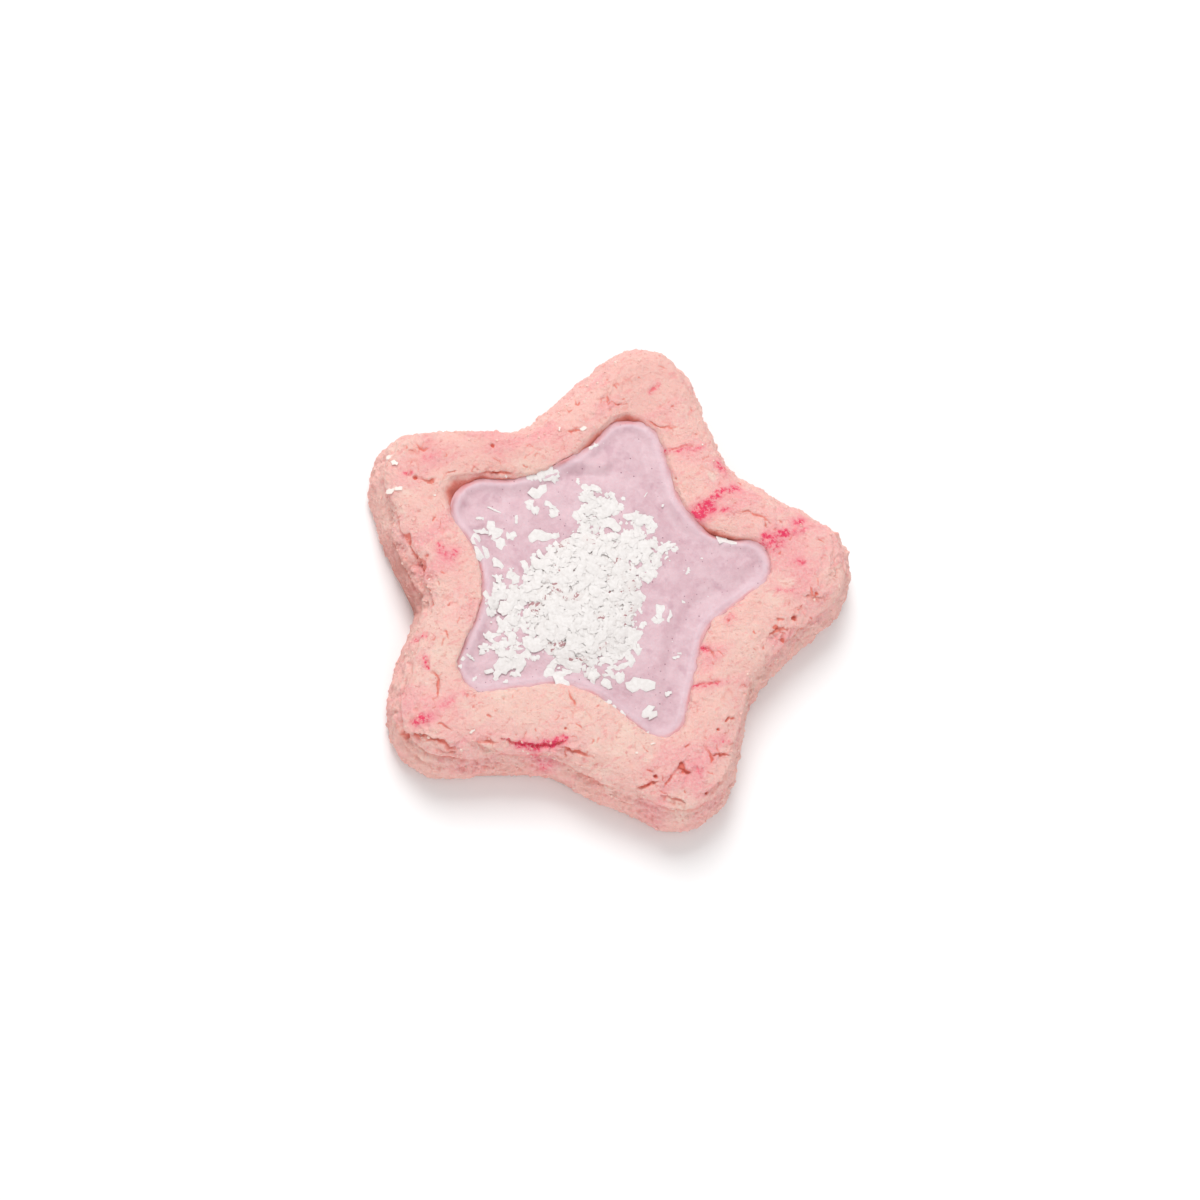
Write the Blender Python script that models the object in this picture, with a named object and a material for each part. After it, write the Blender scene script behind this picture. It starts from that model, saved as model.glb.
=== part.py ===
# Glazed star biscuit: a thick five-armed biscuit of soft pink dough with a star-shaped
# pocket pressed into its top, a pool of mauve glaze in the pocket and a heap of
# desiccated coconut on the glaze.
# Metres, +Z up. The origin is the star's centre on its flat underside and one arm
# points along +Y.

import math
import random

import bmesh
import bpy
from mathutils import Matrix, Vector, noise

MM = 0.001

# Each arm: angle and reach of its sharp corner and the radius that rounds it,
# first for the biscuit's outline and then for the pocket (degrees, mm).
ARMS = (
    ((89.0, 47.0, 8.5), (89.5, 31.5, 5.0)),
    ((161.5, 47.0, 9.5), (163.5, 33.5, 5.0)),
    ((231.5, 46.5, 9.0), (229.0, 32.0, 4.0)),
    ((305.5, 44.5, 9.0), (303.0, 29.5, 4.0)),
    ((378.5, 47.5, 9.0), (384.0, 34.5, 4.0)),
)
# Each valley between one arm and the next, in the same way.
VALLEYS = (
    ((127.0, 27.5, 7.0), (130.5, 18.0, 21.0)),
    ((199.5, 28.5, 4.5), (189.5, 17.0, 13.5)),
    ((266.5, 29.5, 10.0), (265.5, 16.5, 13.5)),
    ((341.0, 28.0, 15.0), (347.5, 17.0, 7.5)),
    ((413.5, 28.0, 8.0), (400.5, 15.5, 10.5)),
)

# Wall of the biscuit from its base to its shoulder: (outward offset, height) in mm.
BASE_INSET = -0.5
WALL = (
    (0.35, 0.4),
    (0.85, 1.5),
    (0.85, 2.9),
    (0.6, 4.3),
    (0.35, 5.7),
    (0.0, 7.1),
    (-0.5, 8.4),
    (-1.3, 9.6),
    (-2.4, 10.5),
)
# Rim from the shoulder to the pocket's lip: (share of the way in, height in mm).
RIM = ((0.18, 11.05), (0.38, 11.35), (0.6, 11.45), (0.82, 11.4), (0.95, 11.15))
RIM_TOP = 11.4
# The pocket's lip, and how far in from it the pocket's wall drops.
LIP = (0.45, 10.75)
LIP_DROP = 0.3
POCKET_FLOOR = 8.0

RIM_SWELL = 0.35
CRUMB = 0.16
WALL_SWELL = 0.4
LAYER_DEPTH = 0.28

GAP = 0.3
GLAZE_FACE = 10.0
GLAZE_BEAD = 0.35
VALLEY_DIP = 0.28
# Rings of the glaze's face: distances in from its edge, then shares of the way out.
GLAZE_INSETS = (0.25, 0.9, 1.9, 3.0)
GLAZE_SHARES = (0.84, 0.68, 0.52, 0.36, 0.2)

# The coconut heap lies left of the middle: centre, half widths, turn and height (mm).
HEAP_CENTRE = (-2.6, -3.2)
HEAP_REACH = (12.5, 14.5)
HEAP_TURN = 12.0
HEAP_HEIGHT = 1.9
HEAP_FLAKES = 70
FRINGE_FLAKES = 16
FLAKE_THICKNESS = 0.42
FLAKE_LIFT = 0.3
FLAKE_MARGIN = 1.9

# Larger flakes that lie apart from the heap: x, y, length and width in mm, turn in degrees.
LONE_FLAKES = (
    (-12.3, 14.2, 3.3, 2.0, 35.0),
    (-10.4, 10.6, 2.4, 1.5, 130.0),
    (-17.2, 6.4, 3.6, 1.8, 165.0),
    (-19.3, 3.2, 3.2, 1.5, 20.0),
    (-17.0, -0.8, 2.6, 2.0, 75.0),
    (10.2, -2.2, 2.8, 2.6, 60.0),
    (8.4, -15.4, 3.8, 1.5, 20.0),
    (10.6, -18.6, 2.3, 1.9, 120.0),
    (15.6, 9.4, 2.2, 0.9, 12.0),
)

# Open cracks on the rim: width and depth in mm, then the points they pass through.
CRACK_STEPS = 3
CRACK_WANDER = 0.35
CRACKS = (
    (0.9, 1.3, ((-32.4, 8.7), (-29.4, 8.6), (-28.3, 9.8), (-26.0, 10.2))),
    (0.6, 0.9, ((-23.4, 12.6), (-20.6, 13.4), (-17.6, 13.2))),
    (0.5, 0.7, ((1.5, 26.8), (4.0, 26.2), (7.0, 26.9))),
    (0.8, 1.0, ((17.4, 15.6), (20.5, 16.6), (22.7, 16.2), (24.6, 14.9))),
    (0.8, 1.0, ((-22.6, -26.2), (-21.8, -24.0), (-22.4, -21.8), (-24.0, -19.8))),
    (1.5, 1.8, ((-12.2, -28.9), (-7.8, -28.6), (-4.3, -27.8), (-1.2, -26.2))),
    (0.9, 1.1, ((-1.6, -27.4), (1.6, -27.5), (4.6, -28.2))),
    (0.7, 0.9, ((-2.2, -18.6), (-1.1, -20.3), (-0.4, -22.6))),
    (1.0, 1.3, ((8.0, -31.4), (11.2, -30.6), (15.2, -29.2))),
    (1.1, 1.4, ((14.6, -28.0), (17.0, -26.4), (19.6, -26.6))),
    (0.9, 1.1, ((19.0, -22.4), (21.7, -23.4), (24.4, -22.0))),
    (0.7, 0.9, ((16.4, -6.6), (18.1, -7.9), (20.0, -9.0))),
    (1.0, 1.0, ((28.0, 0.2), (30.2, 0.9), (31.8, 2.8))),
    (0.9, 0.9, ((25.4, -3.6), (27.6, -2.7), (29.6, -1.4))),
)
# Splits between the dough's layers along the wall: start and end angle in degrees,
# height, opening and depth in mm.
LAYER_SPLITS = (
    (222.0, 246.0, 5.4, 0.9, 1.2),
    (208.0, 226.0, 8.6, 0.8, 1.1),
    (236.0, 252.0, 8.9, 0.8, 1.0),
    (168.0, 184.0, 5.8, 0.8, 1.0),
    (282.0, 300.0, 6.2, 0.8, 1.1),
    (12.0, 25.0, 7.4, 0.8, 0.9),
)

ARC_STEPS = 7
LINE_STEPS = 7
GLAZE_ARC_STEPS = 5
GLAZE_LINE_STEPS = 5
SEED = 16


def clear_scene():
    for item in list(bpy.data.objects):
        bpy.data.objects.remove(item, do_unlink=True)


def star_corners(which):
    """Corners of one star in turn, as (x, y, fillet radius, is an arm's tip)."""
    corners = []
    for arm, valley in zip(ARMS, VALLEYS):
        for (angle, reach, radius), tip in ((arm[which], True), (valley[which], False)):
            turn = math.radians(angle)
            corners.append((reach * math.cos(turn), reach * math.sin(turn), radius, tip))
    return corners


def rounded_star(which, offset, arc_steps, line_steps):
    """Points of a star's filleted outline, moved outward by an offset."""
    corners = star_corners(which)
    count = len(corners)
    arcs = []
    for index, (x, y, radius, tip) in enumerate(corners):
        here = Vector((x, y))
        back = (Vector(corners[index - 1][:2]) - here).normalized()
        ahead = (Vector(corners[(index + 1) % count][:2]) - here).normalized()
        half = back.angle(ahead) / 2.0
        centre = here + (back + ahead).normalized() * (radius / math.sin(half))
        first = here + back * (radius / math.tan(half)) - centre
        last = here + ahead * (radius / math.tan(half)) - centre
        sweep = first.angle_signed(last)
        reach = radius + (offset if tip else -offset)
        points = []
        for step in range(arc_steps + 1):
            turned = first.copy()
            turned.rotate(Matrix.Rotation(-sweep * step / arc_steps, 2))
            points.append(centre + turned.normalized() * reach)
        arcs.append(points)
    outline = []
    for index, points in enumerate(arcs):
        outline.extend(points)
        start = points[-1]
        end = arcs[(index + 1) % count][0]
        for step in range(1, line_steps):
            outline.append(start.lerp(end, step / line_steps))
    return outline


def swell(x, y, z, size, seed):
    """Smooth rise and fall between about -1 and 1 over lengths of about one size."""
    place = Vector((x / size, y / size, z / size)) + Vector((seed, 2.0 * seed, 0.5 * seed))
    return noise.noise(place) * 1.6


def wall_point(point, height, strength):
    """A point of the wall, pushed in and out by the dough's swells and layers."""
    outward = point.normalized()
    push = WALL_SWELL * swell(point.x, point.y, height, 9.0, 3.1)
    push += CRUMB * swell(point.x, point.y, height, 2.4, 7.7)
    layers = noise.noise(Vector((point.x / 9.0, point.y / 9.0, height / 1.5)))
    push += LAYER_DEPTH * layers
    moved = point + outward * push * strength
    return Vector((moved.x, moved.y, height)) * MM


def rim_point(outer, inner, share, height, strength):
    """A point of the rim between the shoulder and the pocket."""
    flat = outer.lerp(inner, share)
    rise = RIM_SWELL * swell(flat.x, flat.y, 0.0, 8.0, 5.3)
    rise += CRUMB * swell(flat.x, flat.y, 0.0, 2.6, 9.2)
    return Vector((flat.x, flat.y, height + rise * strength)) * MM


def add_ring(mesh, points):
    return [mesh.verts.new(point) for point in points]


def join_rings(mesh, lower, upper):
    count = len(lower)
    for index in range(count):
        after = (index + 1) % count
        mesh.faces.new((lower[index], lower[after], upper[after], upper[index]))


def finish_mesh(name, mesh):
    """Make an object of a closed mesh whose faces point outward."""
    bmesh.ops.recalc_face_normals(mesh, faces=mesh.faces)
    bmesh.ops.triangulate(mesh, faces=mesh.faces)
    data = bpy.data.meshes.new(name)
    mesh.to_mesh(data)
    mesh.free()
    item = bpy.data.objects.new(name, data)
    bpy.context.collection.objects.link(item)
    return item


def make_dough():
    """The biscuit as one skin: base, wall, shoulder, rim, pocket wall and pocket floor."""
    mesh = bmesh.new()
    base = rounded_star(0, BASE_INSET, ARC_STEPS, LINE_STEPS)
    rings = [add_ring(mesh, [Vector((p.x, p.y, 0.0)) * MM for p in base])]
    for level, (offset, height) in enumerate(WALL):
        strength = 0.45 if level == 0 else 1.0
        outline = rounded_star(0, offset, ARC_STEPS, LINE_STEPS)
        rings.append(add_ring(mesh, [wall_point(p, height, strength) for p in outline]))
    shoulder = rounded_star(0, WALL[-1][0], ARC_STEPS, LINE_STEPS)
    lip = rounded_star(1, LIP[0], ARC_STEPS, LINE_STEPS)
    for share, height in RIM:
        strength = min(1.0, (1.0 - share) * 4.0)
        row = [rim_point(a, b, share, height, strength) for a, b in zip(shoulder, lip)]
        rings.append(add_ring(mesh, row))
    for offset, height in ((LIP[0] - LIP_DROP, LIP[1]), (0.0, POCKET_FLOOR)):
        outline = rounded_star(1, offset, ARC_STEPS, LINE_STEPS)
        rings.append(add_ring(mesh, [Vector((p.x, p.y, height)) * MM for p in outline]))
    for lower, upper in zip(rings, rings[1:]):
        join_rings(mesh, lower, upper)
    mesh.faces.new(rings[0])
    mesh.faces.new(rings[-1])
    return finish_mesh("biscuit", mesh)


def wedge(name, sections):
    """A closed blade whose cross-sections are triangles."""
    mesh = bmesh.new()
    rows = [[mesh.verts.new(Vector(corner) * MM) for corner in row] for row in sections]
    for row, after in zip(rows, rows[1:]):
        join_rings(mesh, row, after)
    mesh.faces.new(rows[0])
    mesh.faces.new(rows[-1])
    return finish_mesh(name, mesh)


def crack_path(path):
    """The crack's points with more between them, each nudged to one side or the other."""
    points = []
    for start, end in zip(path, path[1:]):
        for step in range(CRACK_STEPS):
            point = Vector(start).lerp(Vector(end), step / CRACK_STEPS)
            nudge = swell(point.x, point.y, 0.0, 1.3, 6.6) * CRACK_WANDER
            points.append(point + Vector((nudge * 0.6, nudge)))
    points.append(Vector(path[-1]))
    return points


def crack_blade(number, width, depth, path):
    """The hollow of one open crack: a V that narrows unevenly to both ends."""
    points = crack_path(path)
    over = 1.2
    floor = RIM_TOP - 0.2
    sections = []
    for index, point in enumerate(points):
        ahead = points[min(index + 1, len(points) - 1)]
        behind = points[max(index - 1, 0)]
        along = (ahead - behind).normalized()
        side = Vector((-along.y, along.x))
        fullness = math.sin(math.pi * (index + 0.35) / (len(points) - 0.3))
        fullness *= 1.0 + 0.35 * swell(point.x, point.y, 0.0, 0.9, 4.9)
        deep = max(0.25, depth * fullness)
        half = max(0.12, width * fullness / 2.0) * (deep + over) / deep
        half = min(half, width * 1.3)
        sections.append((
            (*(point + side * half), RIM_TOP + over),
            (*(point - side * half), RIM_TOP + over),
            (*point, floor - deep),
        ))
    return wedge(f"crack_{number}", sections)


def split_blade(number, start, end, height, opening, depth):
    """The hollow of one split between two layers of the wall."""
    outline = rounded_star(0, 0.6, 12, 12)
    steps = 7
    sections = []
    for step in range(steps):
        turn = math.radians(start + (end - start) * step / (steps - 1))
        aim = Vector((math.cos(turn), math.sin(turn)))
        skin = max(outline, key=lambda p: p.normalized().dot(aim))
        reach = skin.length
        taper = 0.25 + 0.75 * math.sin(math.pi * step / (steps - 1))
        level = height + 0.5 * swell(skin.x, skin.y, height, 6.0, 1.7)
        outer = reach + 1.5
        inner = reach - 0.6 - depth * taper
        half = opening * taper
        sections.append((
            (*(aim * outer), level + half),
            (*(aim * outer), level - half),
            (*(aim * inner), level),
        ))
    return wedge(f"split_{number}", sections)


def cut_relief(dough):
    """Cut the cracks and the layer splits out of the dough."""
    tools = bpy.data.collections.new("relief")
    for number, (width, depth, path) in enumerate(CRACKS):
        tools.objects.link(crack_blade(number, width, depth, path))
    for number, (start, end, height, opening, depth) in enumerate(LAYER_SPLITS):
        tools.objects.link(split_blade(number, start, end, height, opening, depth))
    apply_boolean(dough, tools, "DIFFERENCE", "EXACT")


def apply_boolean(item, tools, operation, solver):
    """Join or cut with everything in a collection, then drop the collection's objects."""
    step = item.modifiers.new(operation.lower(), "BOOLEAN")
    step.operation = operation
    step.operand_type = "COLLECTION"
    step.collection = tools
    step.solver = solver
    evaluated = item.evaluated_get(bpy.context.evaluated_depsgraph_get())
    data = bpy.data.meshes.new_from_object(evaluated)
    item.modifiers.clear()
    item.data = data
    for tool in list(tools.objects):
        bpy.data.objects.remove(tool, do_unlink=True)
    bpy.data.collections.remove(tools)


def keep_main_body(item):
    """Drop loose scraps and the skins of sealed hollows, leaving the largest body."""
    mesh = bmesh.new()
    mesh.from_mesh(item.data)
    mesh.faces.ensure_lookup_table()
    seen = set()
    bodies = []
    for face in mesh.faces:
        if face in seen:
            continue
        body = [face]
        seen.add(face)
        for current in body:
            for edge in current.edges:
                for other in edge.link_faces:
                    if other not in seen:
                        seen.add(other)
                        body.append(other)
        bodies.append(body)
    bodies.sort(key=len)
    spare = [face for body in bodies[:-1] for face in body]
    bmesh.ops.delete(mesh, geom=spare, context="FACES")
    loose = [vert for vert in mesh.verts if not vert.link_faces]
    bmesh.ops.delete(mesh, geom=loose, context="VERTS")
    bmesh.ops.triangulate(mesh, faces=mesh.faces)
    mesh.to_mesh(item.data)
    mesh.free()


def heap_share(x, y):
    """1 in the middle of the coconut heap, falling to 0 at its uneven edge."""
    turn = math.radians(HEAP_TURN)
    dx = x - HEAP_CENTRE[0]
    dy = y - HEAP_CENTRE[1]
    u = (dx * math.cos(turn) + dy * math.sin(turn)) / HEAP_REACH[0]
    v = (dy * math.cos(turn) - dx * math.sin(turn)) / HEAP_REACH[1]
    reach = math.hypot(u, v) + 0.16 * swell(x, y, 0.0, 6.0, 4.4)
    return max(0.0, 1.0 - reach)


def glaze_height(x, y, edge):
    """Height of the glaze and of the heap's core, where edge is the distance in from
    the glaze's outline in mm."""
    bead = GLAZE_BEAD * math.exp(-((edge - 0.9) / 0.8) ** 2)
    dip = VALLEY_DIP * math.exp(-((edge - 3.2) / 1.3) ** 2)
    level = GLAZE_FACE + bead - dip + 0.12 * swell(x, y, 0.0, 6.0, 2.6)
    share = heap_share(x, y)
    heap = HEAP_HEIGHT * min(1.0, share * 2.2)
    heap *= 0.85 + 0.3 * swell(x, y, 0.0, 2.2, 8.1)
    return level + heap


def make_glaze():
    """The pool of glaze with its raised bead and, under the flakes, the heap's core."""
    mesh = bmesh.new()
    side = rounded_star(1, -GAP, GLAZE_ARC_STEPS, GLAZE_LINE_STEPS)
    low = POCKET_FLOOR + GAP
    rings = [
        add_ring(mesh, [Vector((p.x, p.y, low)) * MM for p in side]),
        add_ring(mesh, [Vector((p.x, p.y, GLAZE_FACE - 0.45)) * MM for p in side]),
    ]
    for inset in GLAZE_INSETS:
        outline = rounded_star(1, -GAP - inset, GLAZE_ARC_STEPS, GLAZE_LINE_STEPS)
        row = [Vector((p.x, p.y, glaze_height(p.x, p.y, inset))) * MM for p in outline]
        rings.append(add_ring(mesh, row))
    inner = rounded_star(1, -GAP - GLAZE_INSETS[-1], GLAZE_ARC_STEPS, GLAZE_LINE_STEPS)
    middle = Vector(HEAP_CENTRE)
    for share in GLAZE_SHARES:
        row = []
        for point in inner:
            flat = middle.lerp(point, share)
            row.append(Vector((flat.x, flat.y, glaze_height(flat.x, flat.y, 8.0))) * MM)
        rings.append(add_ring(mesh, row))
    for lower, upper in zip(rings, rings[1:]):
        join_rings(mesh, lower, upper)
    mesh.faces.new(rings[0])
    mesh.faces.new(rings[-1])
    return finish_mesh("glaze", mesh)


def distance_in(outline, x, y):
    """Distance from a point on the glaze to the glaze's outline."""
    return min((point - Vector((x, y))).length for point in outline)


def flake(name, draw, place, length, width, turn, tilt):
    """One thin, ragged, slightly curled shred of coconut."""
    mesh = bmesh.new()
    sides = 6
    curl = draw.uniform(0.05, 0.16)
    ragged = [draw.uniform(0.75, 1.15) for _ in range(sides)]
    layers = []
    for lift in (-FLAKE_THICKNESS / 2.0, FLAKE_THICKNESS / 2.0):
        ring = []
        for index in range(sides):
            angle = math.tau * (index + 0.5) / sides
            x = 0.5 * length * ragged[index] * math.cos(angle)
            y = 0.5 * width * ragged[index] * math.sin(angle)
            ring.append(mesh.verts.new(Vector((x, y, lift - curl * x * x)) * MM))
        layers.append(ring)
    join_rings(mesh, layers[0], layers[1])
    for ring in layers:
        mesh.faces.new(ring[:2] + ring[5:])
        mesh.faces.new(ring[1:3] + ring[4:])
        mesh.faces.new(ring[2:5])
    pose = Matrix.Translation(Vector(place) * MM)
    pose = pose @ Matrix.Rotation(math.radians(turn), 4, "Z")
    pose = pose @ Matrix.Rotation(math.radians(tilt), 4, "Y")
    bmesh.ops.transform(mesh, matrix=pose, verts=mesh.verts)
    return finish_mesh(name, mesh)


def scatter_flakes():
    """The flakes of the heap, its fringe and the lone ones, as one collection."""
    draw = random.Random(SEED)
    tools = bpy.data.collections.new("coconut")
    outline = rounded_star(1, -GAP, 12, 12)
    spots = []
    while len(spots) < HEAP_FLAKES + FRINGE_FLAKES:
        x = HEAP_CENTRE[0] + draw.uniform(-17.0, 17.0)
        y = HEAP_CENTRE[1] + draw.uniform(-17.0, 17.0)
        share = heap_share(x, y)
        fringe = len(spots) >= HEAP_FLAKES
        if fringe and not 0.0 < share < 0.14:
            continue
        if not fringe and share < 0.06:
            continue
        if any(math.hypot(x - a, y - b) < 1.5 for a, b in spots):
            continue
        if distance_in(outline, x, y) < FLAKE_MARGIN:
            continue
        spots.append((x, y))
    for number, (x, y) in enumerate(spots):
        length = draw.uniform(2.0, 3.8)
        width = draw.uniform(1.1, 2.1)
        edge = distance_in(outline, x, y)
        height = glaze_height(x, y, edge) + draw.uniform(0.1, FLAKE_LIFT)
        tilt = draw.uniform(-32.0, 32.0)
        tools.objects.link(flake(f"flake_{number}", draw, (x, y, height), length, width,
                                 draw.uniform(0.0, 180.0), tilt))
    for number, (x, y, length, width, turn) in enumerate(LONE_FLAKES):
        edge = distance_in(outline, x, y)
        height = glaze_height(x, y, edge) + 0.08
        tools.objects.link(flake(f"lone_{number}", draw, (x, y, height), length, width,
                                 turn, draw.uniform(-8.0, 8.0)))
    return tools


def surface(name, color, roughness):
    material = bpy.data.materials.new(name)
    material.use_nodes = True
    shader = material.node_tree.nodes["Principled BSDF"]
    shader.inputs["Base Color"].default_value = (*color, 1.0)
    shader.inputs["Roughness"].default_value = roughness
    shader.inputs["Metallic"].default_value = 0.0
    return material


def shade(item, material, angle):
    item.data.materials.clear()
    item.data.materials.append(material)
    item.data.shade_smooth()
    item.data.set_sharp_from_angle(angle=math.radians(angle))


def main():
    clear_scene()
    dough = make_dough()
    cut_relief(dough)
    keep_main_body(dough)
    shade(dough, surface("dough", (0.87, 0.52, 0.44), 0.8), 35.0)
    glaze = make_glaze()
    apply_boolean(glaze, scatter_flakes(), "UNION", "MANIFOLD")
    keep_main_body(glaze)
    shade(glaze, surface("glaze", (0.72, 0.52, 0.60), 0.45), 35.0)


main()
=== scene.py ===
import math
import random

import bpy
import numpy as np
from mathutils import Matrix, Vector, bvhtree, kdtree, noise


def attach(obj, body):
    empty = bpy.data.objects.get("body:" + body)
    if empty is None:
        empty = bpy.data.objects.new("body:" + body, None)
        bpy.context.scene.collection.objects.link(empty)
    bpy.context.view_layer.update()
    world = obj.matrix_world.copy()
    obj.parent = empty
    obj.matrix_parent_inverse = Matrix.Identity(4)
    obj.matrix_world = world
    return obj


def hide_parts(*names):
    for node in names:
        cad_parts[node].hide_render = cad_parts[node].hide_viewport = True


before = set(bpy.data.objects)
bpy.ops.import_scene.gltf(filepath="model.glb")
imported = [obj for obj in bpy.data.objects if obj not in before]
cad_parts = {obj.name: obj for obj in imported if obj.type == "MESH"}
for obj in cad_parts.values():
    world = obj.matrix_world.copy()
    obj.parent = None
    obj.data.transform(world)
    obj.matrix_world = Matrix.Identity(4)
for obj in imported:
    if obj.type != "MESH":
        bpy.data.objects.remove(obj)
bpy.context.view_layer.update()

MM = 0.001


# --- The biscuit -----------------------------------------------------------------------
# A thick star of soft pink dough, rolled, cut and baked, with a star pressed into its top.
# The skin is matte and finely crumbed, with torn layers along the wall, ragged cracks and
# small pits on the rim, and streaks of crimson food colour.

# Corners of the outline and of the pocket: angle in degrees, reach and fillet in mm,
# tip and valley in turn.
DOUGH_CORNERS = (
    (89, 47, 8.5), (127, 27.5, 7),
    (161.5, 47, 9.5), (199.5, 28.5, 4.5),
    (231.5, 46.5, 9), (266.5, 29.5, 10),
    (305.5, 44.5, 9), (341, 28, 15),
    (378.5, 47.5, 9), (413.5, 28, 8),
)
POCKET_CORNERS = (
    (89.5, 31.5, 5), (130.5, 18, 21),
    (163.5, 33.5, 5), (189.5, 17, 13.5),
    (229, 32, 4), (265.5, 16.5, 13.5),
    (303, 29.5, 4), (347.5, 17, 7.5),
    (384, 34.5, 4), (400.5, 15.5, 10.5),
)
# The wall from the base to the shoulder, as outward offset and height in mm.
DOUGH_WALL = (
    (-0.5, 0), (0.35, 0.4), (0.85, 1.5), (0.85, 2.9), (0.6, 4.3), (0.35, 5.7),
    (0, 7.1), (-0.5, 8.4), (-1.3, 9.6), (-2.4, 10.5),
)
# The rim from the shoulder to the pocket's lip, as share of the way in and height in mm.
DOUGH_RIM = ((0.18, 11.05), (0.38, 11.35), (0.6, 11.42), (0.84, 11.36), (0.97, 11.2))
# The lip and the pocket's wall below it, as offset from the pocket's outline and height.
DOUGH_LIP = ((0.3, 11), (0.05, 10.5), (0, 8))
# Points along each corner and each straight stretch of an outline.
RING_STEPS = 12
FINE_STEPS = 40
DOUGH_VOXEL = 0.2
DOUGH_SOFTEN = 5
DOUGH_FACES = 196000
PLAIN_SPARE = 1.04

# Cracks on the rim: width, depth, lift of the upper lip, how far the crack runs under it
# (all mm) and crimson from 0 to 1, then the points that they pass through in mm.
DOUGH_CRACKS = (
    (0.6, 0.9, 0.2, 0.3, 0, ((-31.4, 9.1), (-30.3, 8.9), (-29.6, 8.8), (-29.3, 9.3), (-28.7, 9.6))),
    (0.3, 0.4, 0.1, 0.1, 0, ((-27.6, 10.4), (-26.4, 10.8), (-25.4, 11.2))),
    (0.6, 0.8, 0.25, 0.3, 0, ((-22.8, 11.6), (-20, 12.6), (-17.2, 13.2))),
    (0.3, 0.4, 0.1, 0, 0, ((-15, 13.4), (-13.4, 13.8), (-12.2, 14.2))),
    (0.35, 0.45, 0.12, 0.1, 0, ((-11, 21.6), (-9.4, 22.2), (-7.6, 22.9))),
    (0.3, 0.4, 0.1, 0.1, 0, ((1.2, 26.7), (3.6, 26.3), (6.6, 27))),
    (0.25, 0.35, 0.15, 0.1, 0, ((17.8, 15.6), (19.8, 16.1), (22.4, 15.7), (24.2, 14.9))),
    (0.4, 0.5, 0.12, 0.1, 0, ((-23.6, -20.2), (-22.2, -21.4), (-22, -23.2), (-21.6, -24.6))),
    (0.6, 0.8, 0.25, 0.3, 0.8, ((-11.2, -28.3), (-9.5, -28.4), (-8.4, -28.5), (-6.7, -28.3),
                                (-4.2, -27.9), (-2.4, -27.2), (-0.8, -26.2))),
    (0.5, 0.7, 0.2, 0.2, 0.1, ((-2, -27.4), (0.6, -27.6), (3.8, -27.9))),
    (0.35, 0.45, 0.1, 0, 0, ((-2.4, -18.7), (-1.3, -20.2), (-0.6, -21.6))),
    (0.6, 0.7, 0.3, 0.3, 0, ((11, -31), (12, -30.6), (12.7, -30.2), (14.2, -29.5))),
    (0.25, 0.4, 0.2, 0.2, 0, ((14.9, -30.2), (15.3, -29.5), (15.7, -28.4), (16.4, -27.6))),
    (0.9, 1, 0.3, 0.4, 0, ((16, -27.8), (16.7, -26.9), (17, -26.2), (17.6, -26.7), (18.1, -27),
                               (18.7, -27.2))),
    (0.45, 0.6, 0.2, 0.2, 0, ((19.7, -22.5), (20.8, -23.4), (21.6, -24.3), (21.1, -24.9))),
    (0.5, 0.6, 0.25, 0.2, 0, ((21.5, -23.9), (22.1, -23.4), (23, -23.1), (24.2, -22.8))),
    (0.25, 0.4, 0.1, 0, 0, ((16.8, -23.4), (17.3, -23), (17.7, -22.8))),
    (0.4, 0.5, 0.2, 0.1, 0, ((22.4, -18), (23, -17.3), (24.2, -16.9))),
    (0.35, 0.4, 0.15, 0.1, 0.2, ((16.2, -7.4), (17.6, -7.2), (19.2, -8.6))),
    (0.5, 0.5, 0.15, 0.2, 0, ((26.4, -2.4), (28, -1.6), (29.8, -0.8))),
    (0.4, 0.4, 0.12, 0.1, 0, ((27.6, -0.2), (28.8, 0.4))),
    (0.4, 0.4, 0.1, 0, 0, ((31.6, 6.6), (32.2, 5.4), (33.6, 5.2))),
    (0.3, 0.35, 0.1, 0, 0, ((-5.8, 29.6), (-5.2, 28.4))),
    (0.25, 0.3, 0.08, 0, 0.4, ((1.2, 31.6), (1.5, 32.5), (2, 33.7))),
    (0.3, 0.4, 0.1, 0, 0, ((-5.7, 29), (-5.2, 27.9), (-4.6, 28.4), (-3.7, 28.1), (-2.5, 28.6))),
    (0.3, 0.3, 0.08, 0, 0.3, ((4.6, 22.8), (7.4, 23.9), (10, 25.2))),
    (0.35, 0.4, 0.1, 0, 0, ((-33.4, 14.6), (-31.8, 13.6), (-31, 14.2))),
    (0.3, 0.4, 0.1, 0, 0.5, ((-34, 9.3), (-33.1, 9.3), (-32.9, 10.1))),
    (0.4, 0.45, 0.15, 0.15, 0, ((-14.6, -29.6), (-13, -29.2), (-11.4, -29.3))),
    (0.4, 0.45, 0.15, 0.15, 0.3, ((-5.4, -29.9), (-3.8, -29.7), (-1.8, -30))),
    (0.35, 0.4, 0.1, 0, 0, ((-13.8, -25.2), (-13, -25.7))),
    (0.3, 0.35, 0.1, 0, 0.3, ((16.2, -13.6), (18.4, -12.6), (21.2, -11.8))),
)
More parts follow.
